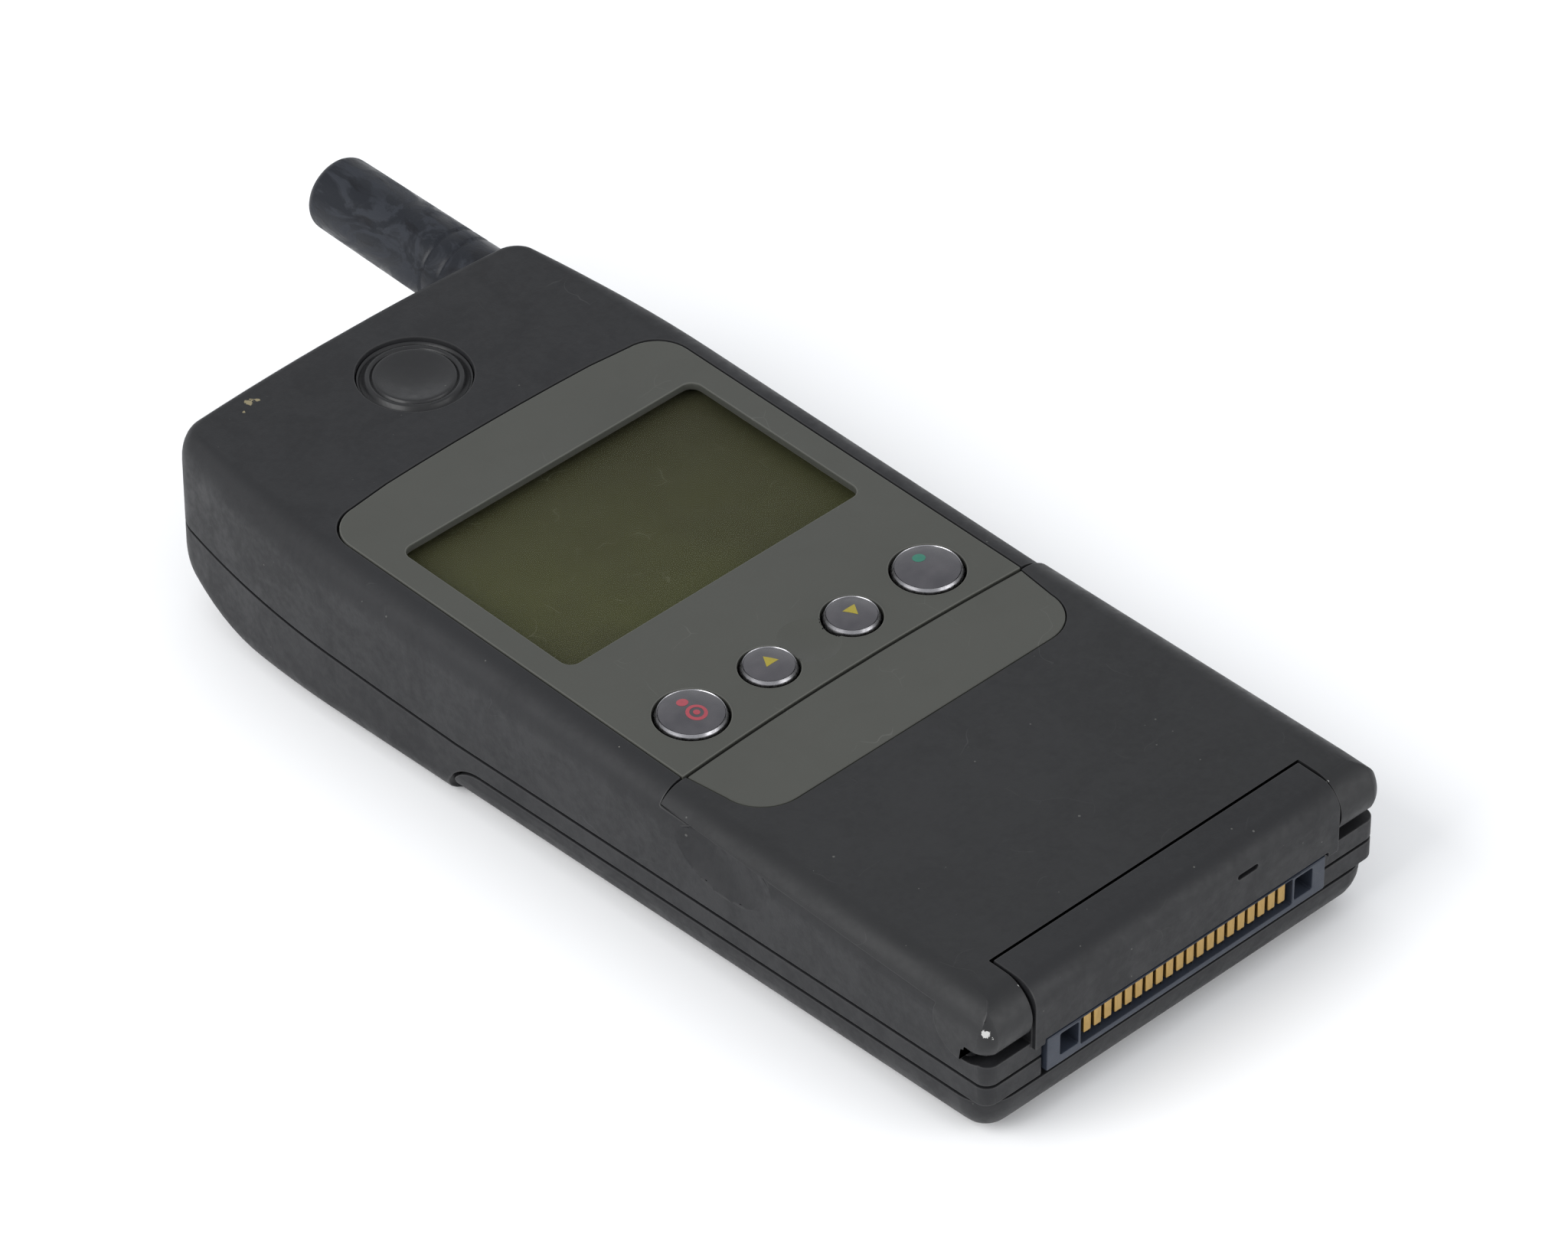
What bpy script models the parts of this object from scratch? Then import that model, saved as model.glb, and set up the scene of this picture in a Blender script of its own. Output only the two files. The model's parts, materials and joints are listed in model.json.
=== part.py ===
"""Compact mobile phone with a keypad flap and a stub antenna, as an assembly of separate parts.

Blender works in metres; the dimensions below are in millimetres and MM converts them.
The front frame has z = 0 on the bezel, +Z out of the front and y = 0 at the bottom end.
The back frame has z = 0 on the back that the phone lies on, and is parallel to the world.
"""
import math

import bmesh
import bpy
from mathutils import Matrix, Vector

MM = 0.001
GAP = 0.3                      # clearance between pieces that touch

# Body, in the front frame
LENGTH = 121.8                 # bottom end to top end, without the antenna
LOW_END = 0.5                  # the bottom end stands back this much from the hinge block
HALF_WIDTH = 26.5
SHOULDER_Y = 94.0              # where the sides start to curve in
SHOULDER_RADIUS = 120.0
TOP_CORNER = 4.0
TOP_EDGE_RADIUS = 290.0
BOTTOM_CORNER = 2.8
BATTERY_CORNER = 4.4
BATTERY_EDGE = 5.0             # rounding between the battery's back and its sides
FRONT_EDGE = 3.5               # rounding between the front and the sides
REAR_EDGE = 3.6
TOP_EDGE_SHARE = 0.5           # the edges' rounding narrows to this share at the top end
WALL = 1.7
FRONT_WALL = 2.1
DEPTH = 16.6                   # front to back at the bottom end
BACK_ANGLE = math.radians(2.7)
HEEL_START = 106.3             # the back curves up towards the top end from here
HEEL_RADIUS = 22.0
SEAM_HEIGHT = 8.2              # front and rear housing meet at this height over the back
SEAM_RISE = 2.8                # how much the seam climbs at the top end
SEAM_BEND = 74.0

# Flap and hinge
HINGE_Y = 3.8
HINGE_Z = -2.6
KNUCKLE_RADIUS = 3.7
BLOCK_CLEARANCE = 4.3          # the flap plate stays outside this radius
BLOCK_HALF = 20.6
KNUCKLE_UNDER = -4.3           # the knuckles are cut flat below this at their front
KNUCKLE_FLOOR = -5.9           # the shelf under a knuckle
FLAP_HALF = 26.9
FLAP_TOP = 45.7
FLAP_BOW = 0.7                 # the flap's edge is arched by this much
FLAP_RAISE = 1.1               # the flap stands this proud at the hinge
FLAP_UNDER = -1.4
FLAP_SHELL = 1.3
SEAT_Z = -1.75
PIN_RADIUS = 0.8

# Bezel, window, keys
BEZEL_THICK = 0.9
BEZEL_LOW = 46.05
BEZEL_HIGH = 99.3
BEZEL_HALF = 22.9
BEZEL_CORNER = 4.2
WINDOW_HALF = 19.8
WINDOW_LOW = 65.4
WINDOW_HIGH = 90.2
KEY_ROW_Y = 52.1
BIG_KEY_X = 16.0
SMALL_KEY_X = 5.6
BIG_KEY_RADIUS = 3.65
SMALL_KEY_RADIUS = 2.9
PAD_PITCH_X = 13.6
PAD_PITCH_Y = 7.8
PAD_FIRST_Y = 14.6
PAD_KEY = (10.4, 5.2)
DECK_Z = -2.7
DECK_THICK = 1.2
BOARD_Z = -6.3
BOARD_THICK = 0.9
SCREW_POST = 2.1
SCREW_HEAD_Z = -9.6
SCREW_PLACES = ((-20.4, 59.6), (20.4, 59.6), (-20.2, 98.4), (20.2, 98.4))

# Earpiece, antenna, connector
EAR_Y = 110.3
EAR_RADIUS = 6.3
ANTENNA_X = 19.2
ANTENNA_Z = -5.4
ANTENNA_BASE = 4.45
ANTENNA_TIP = 4.2
ANTENNA_END = 144.8
CONTACTS = 20
CONTACT_PITCH = 1.39
CONNECTOR_HALF = 18.9
CONNECTOR_TOP = -6.3
CONNECTOR_LOW = -10.4
SOCKET_X = 15.9

# Battery, in the back frame
BATTERY_HEIGHT = 5.5
BATTERY_TOP = 77.4
BATTERY_NOSE = 5.2             # rounding of the battery's upper front corner
RAISED_LOW = 10.9              # the pack has a raised part that fits the rear housing's pocket
RAISED_HIGH = 72.0
RAISED_HALF = 22.3
TERMINAL_X = (-4.5, 4.5)

ORIGIN_Y = -72.56              # puts the middle of the whole length at y = 0

for leftover in list(bpy.data.objects):
    bpy.data.objects.remove(leftover, do_unlink=True)


def new_collection(name):
    collection = bpy.data.collections.new(name)
    bpy.context.scene.collection.children.link(collection)
    return collection


PARTS = new_collection("mobile_phone")
CUTTERS = new_collection("cutters")


def new_frame(name, location, tilt):
    empty = bpy.data.objects.new(name, None)
    empty.location = [value * MM for value in location]
    empty.rotation_euler = (tilt, 0.0, 0.0)
    empty.empty_display_size = 10 * MM
    PARTS.objects.link(empty)
    return empty


FRONT = new_frame("front_frame", (0, ORIGIN_Y, DEPTH * math.cos(BACK_ANGLE)), BACK_ANGLE)
BACK = new_frame("back_frame", (0, ORIGIN_Y, 0), 0.0)


# ---------------------------------------------------------------- materials

def material(name, colour, roughness, metallic=0.0):
    made = bpy.data.materials.new(name)
    made.use_nodes = True
    shader = made.node_tree.nodes["Principled BSDF"]
    shader.inputs["Base Color"].default_value = (*colour, 1.0)
    shader.inputs["Roughness"].default_value = roughness
    shader.inputs["Metallic"].default_value = metallic
    made.diffuse_color = (*colour, 1.0)
    return made


# ---------------------------------------------------------------- mesh building

def place(name, mesh, frame=None, collection=None):
    """Put a mesh, in millimetres, into the scene as an object of one of the two frames."""
    mesh.transform(Matrix.Scale(MM, 4))
    mesh.name = name
    made = bpy.data.objects.new(name, mesh)
    (collection or PARTS).objects.link(made)
    made.parent = frame or FRONT
    return made


def set_origin(made, point):
    """Move a piece's origin to a point of its frame, on the axis that the piece moves along."""
    made.data.transform(Matrix.Translation([-value * MM for value in point]))
    made.location = [value * MM for value in point]


def finish(made, colour, roughness, metallic=0.0, smooth_angle=35):
    made.data.materials.clear()
    made.data.materials.append(material(made.name, colour, roughness, metallic))
    made.data.shade_smooth()
    made.data.set_sharp_from_angle(angle=math.radians(smooth_angle))
    return made


def mesh_from(builder):
    """Run a builder on a new bmesh and return the mesh, with its faces pointing out."""
    shape = bmesh.new()
    builder(shape)
    bmesh.ops.recalc_face_normals(shape, faces=shape.faces)
    mesh = bpy.data.meshes.new("shape")
    shape.to_mesh(mesh)
    shape.free()
    return mesh


def add_box(shape, low, high):
    middle = [(a + b) / 2 for a, b in zip(low, high)]
    size = [b - a for a, b in zip(low, high)]
    matrix = Matrix.Translation(middle) @ Matrix.Diagonal((*size, 1.0))
    bmesh.ops.create_cube(shape, size=1.0, matrix=matrix)


def box(low, high):
    return mesh_from(lambda shape: add_box(shape, low, high))


TURN = {"x": Matrix.Rotation(math.radians(90), 4, "Y"),
        "y": Matrix.Rotation(math.radians(-90), 4, "X"),
        "z": Matrix.Identity(4)}


def add_cylinder(shape, axis, start, end, radius, segments=32):
    """A cylinder from start to end, two points that differ along one axis only."""
    start, end = Vector(start), Vector(end)
    matrix = Matrix.Translation((start + end) / 2) @ TURN[axis]
    bmesh.ops.create_cone(shape, cap_ends=True, segments=segments, radius1=radius, radius2=radius,
                          depth=(end - start).length, matrix=matrix)


def cylinder(axis, start, end, radius, segments=32):
    return mesh_from(lambda shape: add_cylinder(shape, axis, start, end, radius, segments))


def arc(centre, radius, start, end, steps):
    """Points on an arc, with its angles in degrees."""
    angles = [math.radians(start + (end - start) * i / steps) for i in range(steps + 1)]
    return [(centre[0] + radius * math.cos(a), centre[1] + radius * math.sin(a)) for a in angles]


def rounded_rectangle(half_x, low_y, high_y, corner, steps=4, centre_x=0.0):
    points = []
    for sign_x, y, start in ((1, high_y, 0), (-1, high_y, 90), (-1, low_y, 180), (1, low_y, 270)):
        centre = (centre_x + sign_x * (half_x - corner), y - corner if y == high_y else y + corner)
        points += arc(centre, corner, start, start + 90, steps)
    return points


def merged_mesh(data, distance, height=0.0, prepare=None):
    """The evaluated mesh of a curve or a mesh, raised to a height, with its doubled points merged."""
    holder = bpy.data.objects.new("holder", data)
    bpy.context.scene.collection.objects.link(holder)
    if prepare:
        prepare(holder)
    bpy.context.view_layer.update()
    mesh = bpy.data.meshes.new_from_object(holder.evaluated_get(bpy.context.evaluated_depsgraph_get()))
    bpy.data.objects.remove(holder)
    mesh.transform(Matrix.Translation((0, 0, height)))
    shape = bmesh.new()
    shape.from_mesh(mesh)
    bmesh.ops.remove_doubles(shape, verts=shape.verts, dist=distance)
    bmesh.ops.recalc_face_normals(shape, faces=shape.faces)
    shape.to_mesh(mesh)
    shape.free()
    return mesh


def curve_mesh(outlines, low, high, edge=0.0, edge_steps=1):
    """A flat outline as a 2D curve, filled and extruded between two heights; edge rounds it."""
    curve = bpy.data.curves.new("outline", "CURVE")
    curve.dimensions = "2D"
    curve.fill_mode = "BOTH"
    curve.extrude = (high - low) / 2 - edge
    curve.bevel_depth = edge
    curve.bevel_resolution = edge_steps
    for outline in outlines:
        spline = curve.splines.new("POLY")
        spline.points.add(len(outline) - 1)
        for point, (x, y) in zip(spline.points, outline):
            point.co = (x, y, 0.0, 1.0)
        spline.use_cyclic_u = True
    return merged_mesh(curve, 0.001, (high + low) / 2)


def side_profile(outline, half_x, centre_x=0.0):
    """An outline given as (y, z) points, extruded along X."""
    mesh = curve_mesh([outline], -half_x, half_x)
    mesh.transform(Matrix(((0, 0, 1, centre_x), (1, 0, 0, 0), (0, 1, 0, 0), (0, 0, 0, 1))))
    return mesh


def turned(profile, axis, centre, steps=32):
    """A closed solid turned from (radius, height) points, which run from top to bottom."""
    mesh = bpy.data.meshes.new("profile")
    mesh.from_pydata([(r, 0.0, h) for r, h in profile], [(i, i + 1) for i in range(len(profile) - 1)], [])

    def add_screw(holder):
        screw = holder.modifiers.new("turn", "SCREW")
        screw.steps = steps
        screw.render_steps = steps
        screw.use_merge_vertices = True
        screw.merge_threshold = 0.0001

    made = merged_mesh(mesh, 0.0001, prepare=add_screw)
    made.transform(Matrix.Translation(centre) @ TURN[axis])
    return made


def wire(points, radius, sides=2):
    """A tube along points, with closed ends."""
    curve = bpy.data.curves.new("wire", "CURVE")
    curve.dimensions = "3D"
    curve.bevel_depth = radius
    curve.bevel_resolution = sides
    curve.use_fill_caps = True
    spline = curve.splines.new("POLY")
    spline.points.add(len(points) - 1)
    for point, corner in zip(spline.points, points):
        point.co = (*corner, 1.0)
    return merged_mesh(curve, 0.0005)


def boolean(target, mesh, operation, frame=None):
    """Cut, join or trim a part with a tool shape that stays in the cutters collection."""
    tool = place(f"{target.name}_{operation.lower()}_{len(target.modifiers)}", mesh, frame, CUTTERS)
    tool.hide_render = True
    tool.display_type = "WIRE"
    modifier = target.modifiers.new(operation.lower(), "BOOLEAN")
    modifier.operation = operation
    modifier.object = tool
    modifier.solver = "EXACT"


def cut(target, mesh, frame=None):
    boolean(target, mesh, "DIFFERENCE", frame)


def join(target, mesh, frame=None):
    boolean(target, mesh, "UNION", frame)


def trim(target, mesh, frame=None):
    boolean(target, mesh, "INTERSECT", frame)


# ---------------------------------------------------------------- body surfaces

def back_z(y):
    """Height of the back in the front frame; it curves up towards the top end."""
    rise = 0.0
    if y > HEEL_START:
        rise = HEEL_RADIUS - math.sqrt(HEEL_RADIUS ** 2 - (y - HEEL_START) ** 2)
    return -(DEPTH + y * math.tan(BACK_ANGLE)) + rise


def seam_z(y):
    """Height of the joint between the housings, level over the back and then climbing."""
    over = max(0.0, y - SEAM_BEND) / (LENGTH - SEAM_BEND)
    return -(DEPTH + y * math.tan(BACK_ANGLE)) + SEAM_HEIGHT + SEAM_RISE * over ** 1.3


def battery_z(y):
    return -(DEPTH + y * math.tan(BACK_ANGLE)) + BATTERY_HEIGHT


def corner_centre(shoulder, top):
    """Centre that is at the given distances from the shoulder's and the top edge's centres."""
    x0, y0 = HALF_WIDTH - SHOULDER_RADIUS, SHOULDER_Y
    x1, y1 = 0.0, LENGTH - TOP_EDGE_RADIUS
    gap = math.hypot(x1 - x0, y1 - y0)
    along = (shoulder ** 2 - top ** 2 + gap ** 2) / (2 * gap)
    off = math.sqrt(shoulder ** 2 - along ** 2)
    ux, uy = (x1 - x0) / gap, (y1 - y0) / gap
    return x0 + ux * along - uy * off, y0 + uy * along + ux * off


def body_half(inset=0.0, low_corner=BOTTOM_CORNER):
    """Right half of the body's outline, from the bottom end up to the top end."""
    bottom = max(low_corner - inset, 0.4)
    points = arc((HALF_WIDTH - inset - bottom, LOW_END + inset + bottom), bottom, -90, 0, 4)
    points += [(HALF_WIDTH - inset, y) for y in (30.0, 62.0)]
    centre = corner_centre(SHOULDER_RADIUS - TOP_CORNER, TOP_EDGE_RADIUS - TOP_CORNER)
    shoulder_centre = (HALF_WIDTH - SHOULDER_RADIUS, SHOULDER_Y)
    top_centre = (0.0, LENGTH - TOP_EDGE_RADIUS)
    turn = math.degrees(math.atan2(centre[1] - SHOULDER_Y, centre[0] - shoulder_centre[0]))
    end = math.degrees(math.atan2(centre[1] - top_centre[1], centre[0]))
    pieces = ((shoulder_centre, SHOULDER_RADIUS, 0, turn, 6), (centre, TOP_CORNER, turn, end, 4),
              (top_centre, TOP_EDGE_RADIUS, end, 90, 3))
    for middle, radius, start, stop, steps in pieces:
        for x, y in arc(middle, radius, start, stop, steps)[1:]:
            over = min(1.0, (y - SHOULDER_Y) / (LENGTH - 3 - SHOULDER_Y))
            share = inset * (1 - (1 - TOP_EDGE_SHARE) * over ** 2) / radius
            points.append((x + (middle[0] - x) * share, y + (middle[1] - y) * share))
    points.insert(-sum(piece[4] for piece in pieces), (HALF_WIDTH - inset, SHOULDER_Y))
    return points[:-1]


def battery_half(inset=0.0):
    return body_half(inset, BATTERY_CORNER)


def skin(levels, half=body_half):
    """A solid through levels of the outline, each (inset, height function), capped at both ends."""
    def build(shape):
        rings = []
        for inset, height in levels:
            right = half(inset)
            ring = [(x, y, height(y)) for x, y in right] + [(-x, y, height(y)) for x, y in right[::-1]]
            rings.append([shape.verts.new(point) for point in ring])
        count = len(rings[0])
        for lower, upper in zip(rings, rings[1:]):
            for i in range(count):
                j = (i + 1) % count
                shape.faces.new((lower[i], lower[j], upper[j], upper[i]))
        for ring in (rings[0], rings[-1]):
            for i in range(count // 2 - 1):
                shape.faces.new((ring[i], ring[i + 1], ring[count - 2 - i], ring[count - 1 - i]))
    return mesh_from(build)


def edge_levels(radius, surface, outward, steps=4):
    """Levels of a rounded edge that starts on a surface and ends on the side wall."""
    levels = []
    for i in range(steps + 1):
        angle = math.radians(90 * i / steps)
        inset = radius * (1 - math.sin(angle))
        drop = radius * (1 - math.cos(angle))
        levels.append((inset, lambda y, drop=drop: surface(y) + outward * drop))
    return levels


def flat(value):
    return lambda y: value


# ---------------------------------------------------------------- housings

def key_holes():
    """Round openings for the four keys by the display."""
    def build(shape):
        for x, radius in function_key_places():
            add_cylinder(shape, "z", (x, KEY_ROW_Y, -6), (x, KEY_ROW_Y, 2), radius + GAP, 28)
    return mesh_from(build)


def function_key_places():
    return ((-BIG_KEY_X, BIG_KEY_RADIUS), (-SMALL_KEY_X, SMALL_KEY_RADIUS),
            (SMALL_KEY_X, SMALL_KEY_RADIUS), (BIG_KEY_X, BIG_KEY_RADIUS))


def pad_key_places():
    """Name and middle of each key under the flap, from the top row down."""
    labels = ("1", "2", "3", "4", "5", "6", "7", "8", "9", "star", "0", "hash")
    places = []
    for index, label in enumerate(labels):
        row, column = divmod(index, 3)
        places.append((f"key_{label}", (column - 1) * PAD_PITCH_X, PAD_FIRST_Y + (3 - row) * PAD_PITCH_Y))
    return places


def pad_holes():
    outlines = []
    for _, x, y in pad_key_places():
        half_x, half_y = PAD_KEY[0] / 2 + GAP, PAD_KEY[1] / 2 + GAP
        outlines.append(rounded_rectangle(half_x, y - half_y, y + half_y, 2.2, 3, x))
    return curve_mesh(outlines, -6, 0)


def flap_arch(half, y):
    """Right half of the arched line where the flap meets the bezel, from the side inwards."""
    return [(half, y), (half * 0.7, y + 0.5 * FLAP_BOW), (half * 0.35, y + 0.88 * FLAP_BOW)]


def bezel_outline(grow=0.0, low=BEZEL_LOW):
    """Bezel outline: a low edge that follows the flap's, round corners and an arched top."""
    half = BEZEL_HALF + grow
    high = BEZEL_HIGH - 0.8 + grow
    right = flap_arch(half, low)[::-1]
    right += arc((half - BEZEL_CORNER, high - BEZEL_CORNER), BEZEL_CORNER, 0, 90, 5)
    right += [(half * 0.45, high + 0.55)]
    return right + [(0.0, high + 0.8)] + [(-x, y) for x, y in right[::-1]]


def hinge_block():
    """Raised block between the flap's knuckles, with its end rounded over."""
    top, radius = FLAP_RAISE, 2.7
    slot_y = HINGE_Y + math.sqrt((BLOCK_CLEARANCE - 0.1) ** 2 - (top - HINGE_Z) ** 2)
    outline = [(slot_y, -6.6), (slot_y, top)] + arc((radius, top - radius), radius, 90, 180, 5) + [(0.0, -6.6)]
    return side_profile(outline, BLOCK_HALF)


def knuckle_shelf():
    """Side outline of the curved shelf behind and below a knuckle."""
    outer = KNUCKLE_RADIUS + 1.3
    curve = arc((HINGE_Y, HINGE_Z), outer, -90, 0, 8)
    return [(1.6, -1.0), (1.6, HINGE_Z - outer)] + curve + [(HINGE_Y + outer, -1.0)]


def knuckle_space(sign):
    """Room for one knuckle: a round cavity that is open to the bottom end."""
    inner, outer = sign * (BLOCK_HALF + 0.05), sign * (HALF_WIDTH + 3)
    low, high = min(inner, outer), max(inner, outer)
    clear = KNUCKLE_RADIUS + GAP
    end = -180 + math.degrees(math.asin((HINGE_Z - KNUCKLE_FLOOR) / clear))
    outline = arc((HINGE_Y, HINGE_Z), clear, 0, end, 10)
    outline += [(-3.0, KNUCKLE_FLOOR), (-3.0, 6.0), (HINGE_Y + clear, 6.0)]
    return side_profile(outline[::-1], (high - low) / 2, (high + low) / 2)


def thumb_scoop(sign):
    """Shallow dish in the side where a thumb lifts the flap."""
    def build(shape):
        matrix = Matrix.Translation((sign * (HALF_WIDTH + 1.6), 36.6, -2.6)) @ Matrix.Diagonal((3.6, 6.6, 4.4, 1))
        bmesh.ops.create_uvsphere(shape, u_segments=20, v_segments=12, radius=1.0, matrix=matrix)
    return mesh_from(build)


def front_housing():
    levels = edge_levels(FRONT_EDGE, flat(0.0), -1)
    rim = lambda y: seam_z(y) + GAP / 2
    levels += [(0.0, rim), (WALL, rim), (WALL, flat(-FRONT_WALL))]
    body = place("front_housing", skin(levels))
    deck_low = DECK_Z - DECK_THICK
    join(body, curve_mesh([rounded_rectangle(HALF_WIDTH - WALL + 0.2, 4.0, 47.4, 0.5)], deck_low, -1.0))
    for sign in (-1, 1):
        join(body, side_profile(knuckle_shelf(), 2.95, sign * (HALF_WIDTH - 3.95)))
    flap_room = FLAP_TOP + FLAP_BOW + GAP
    cut(body, side_profile([(-4, SEAT_Z), (flap_room, SEAT_Z), (flap_room, 5), (-4, 5)], 30))
    cut(body, curve_mesh([rounded_rectangle(21.6, 9.6, 43.2, 3.0)], DECK_Z, 2))
    cut(body, pad_holes())
    join(body, hinge_block())
    cut(body, side_profile([(1.5, -8.4), (5.45, -8.4), (5.45, -0.95), (1.5, -0.95)], 15.0))
    for sign in (-1, 1):
        cut(body, knuckle_space(sign))
        cut(body, thumb_scoop(sign))
    cut(body, cylinder("x", (-22, HINGE_Y, HINGE_Z), (22, HINGE_Y, HINGE_Z), PIN_RADIUS + GAP, 20))
    cut(body, box((6.6, -1, -1.85), (9.2, 2.2, -1.35)))
    cut(body, curve_mesh([bezel_outline(GAP, FLAP_TOP)], -(BEZEL_THICK + GAP), 2))
    window = rounded_rectangle(WINDOW_HALF + 1.9, WINDOW_LOW - 1.9, WINDOW_HIGH + 1.9, 2.0)
    cut(body, curve_mesh([window], -4, 1))
    cut(body, key_holes())
    cut(body, cylinder("z", (0, EAR_Y, -1.2), (0, EAR_Y, 1), EAR_RADIUS + 0.1, 40))
    cut(body, cylinder("z", (0, EAR_Y, -3), (0, EAR_Y, 1), 3.2, 24))
    for x, y in SCREW_PLACES:
        join(body, cylinder("z", (x, y, -5.6), (x, y, -1.4), SCREW_POST, 20))
        cut(body, cylinder("z", (x, y, -7), (x, y, -2.4), 0.9, 12))
    boss = ANTENNA_BASE - 0.05
    join(body, cylinder("y", (ANTENNA_X, 113.5, ANTENNA_Z), (ANTENNA_X, 121.2, ANTENNA_Z), boss, 36))
    cut(body, cylinder("y", (ANTENNA_X, 112, ANTENNA_Z), (ANTENNA_X, 123, ANTENNA_Z), 2.7, 24))
    room = [(-1, CONNECTOR_TOP + GAP), (6.5, CONNECTOR_TOP + GAP), (6.5, -14), (-1, -14)]
    cut(body, side_profile(room, CONNECTOR_HALF + GAP))
    return finish(body, (0.048, 0.049, 0.052), 0.55)


def rear_housing():
    rim = lambda y: seam_z(y) - GAP / 2
    levels = [(WALL, lambda y: back_z(y) + WALL), (WALL, rim), (0.0, rim)]
    levels += edge_levels(REAR_EDGE, back_z, 1)[::-1]
    body = place("rear_housing", skin(levels))
    wall_y, floor_top = BATTERY_TOP + 0.6, BATTERY_HEIGHT + 3.6
    low_tray = [(1.9, 5.0), (wall_y, 5.0), (wall_y, 1.0), (80.2, 1.0), (80.2, 7.9), (1.9, 7.9)]
    join(body, side_profile(low_tray, HALF_WIDTH - WALL + 0.5), BACK)
    high_tray = [(4.6, 7.4), (80.2, 7.4), (80.2, floor_top), (4.6, floor_top)]
    join(body, side_profile(high_tray, HALF_WIDTH - WALL - 0.35), BACK)
    cut(body, side_profile(battery_bay(GAP), 30), BACK)
    cut(body, box((-22.9, RAISED_LOW - 2.7, 2), (22.9, 72.5, BATTERY_HEIGHT + 2.4)), BACK)
    for low_x in (-23.5, 19.9):
        cut(body, box((low_x, 1.4, 5.0), (low_x + 3.6, 5.2, 6.9)), BACK)
    for x, y in SCREW_PLACES:
        rear_screw_post(body, x, y)
    cut(body, box((-7.4, 80.9, -1), (7.4, 86.6, 3.4)), BACK)
    cut(body, box((-4.3, 76, 2.0), (4.3, 82, 3.6)), BACK)
    join(body, box((-3, 92.4, 1.2), (3, 93.6, 4.6)), BACK)
    for x in TERMINAL_X:
        cut(body, box((x - 1.2, 13.5, 7), (x + 1.2, 17.8, 10)), BACK)
    cut(body, side_profile([(-1, 12), (-1, 5), (7.2, 5), (7.2, 12)], CONNECTOR_HALF + GAP), BACK)
    return finish(body, (0.055, 0.056, 0.061), 0.5)


def rear_screw_post(body, x, y):
    """Post that meets the front housing's post, with a clearance hole and a counterbore."""
    floor = back_z(y) if y > BATTERY_TOP else battery_z(y) + 2.4
    join(body, cylinder("z", (x, y, floor + 0.8), (x, y, -8.2), 2.7, 24))
    join(body, cylinder("z", (x, y, -8.8), (x, y, -5.9), SCREW_POST, 20))
    cut(body, cylinder("z", (x, y, floor - 3), (x, y, -5), 0.95, 16))
    cut(body, cylinder("z", (x, y, floor - 3), (x, y, SCREW_HEAD_Z), 1.8, 20))


def battery_bay(grow):
    """Side outline of the space that the battery fills, in the back frame."""
    top = BATTERY_TOP + grow
    high = BATTERY_HEIGHT + grow
    radius = BATTERY_NOSE + grow
    nose = arc((top - radius, high - radius), radius, 0, 90, 6)
    return [(-3, -2), (top, -2)] + nose + [(-3, high)]


def battery_case():
    levels = [(0.0, battery_z)] + edge_levels(BATTERY_EDGE, back_z, 1)[::-1]
    case = place("battery_case", skin(levels, battery_half))
    trim(case, side_profile(battery_bay(0.0), 30), BACK)
    join(case, box((-RAISED_HALF, RAISED_LOW, 3), (RAISED_HALF, RAISED_HIGH, BATTERY_HEIGHT + 2)), BACK)
    cut(case, box((-RAISED_HALF + 1, RAISED_LOW + 1, 1.2), (RAISED_HALF - 1, RAISED_HIGH - 1, 9)), BACK)
    cut(case, box((-4.5, 75.8, 1.9), (4.5, 79, 3.6)), BACK)
    for low_x in (-23.2, 20.2):
        join(case, box((low_x, 2.4, 5.0), (low_x + 3.0, 4.2, 6.6)), BACK)
    for rib in range(5):
        y = 8.0 + 2.4 * rib
        cut(case, box((-9, y, -1), (9, y + 1.1, 0.4)), BACK)
    return finish(case, (0.06, 0.061, 0.066), 0.5)


# ---------------------------------------------------------------- flap

def flap_z(y):
    """Height of the flap's face, which is flush at its edge and proud at the hinge."""
    along = max(0.0, min(1.0, (y - 6.0) / (FLAP_TOP - 6.0)))
    return FLAP_RAISE * (1 - along)


def flap_half(inset=0.0):
    """Right half of the flap's outline seen from the front, knuckles included."""
    side, low, corner = FLAP_HALF - inset, HINGE_Y - KNUCKLE_RADIUS, 0.9
    points = arc((side - corner, low + corner), corner, -90, 0, 3)
    return points + [(side, 5.0), (side, 16.0), (side, 31.0)] + flap_arch(side, FLAP_TOP)


def inlay_half(inset=0.0):
    corner = 4.8 - inset
    points = arc((22.0 - 4.8, 36.0 + 4.8), corner, -90, 0, 5)
    reach = 3.0 if inset < 0 else 0.0
    return points + flap_arch(22.6 - inset + 0.125 * reach, FLAP_TOP - 0.1 + reach)


def flap_side():
    """Side outline of the flap: a plate with a round knuckle about the hinge axis."""
    radius = KNUCKLE_RADIUS - 0.01
    under = math.degrees(math.asin((FLAP_UNDER - HINGE_Z) / radius))
    knuckle = arc((HINGE_Y, HINGE_Z), radius, 90, 360 + under, 24)
    return [(50, 3), (HINGE_Y, 3)] + knuckle + [(50, FLAP_UNDER)]


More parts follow.
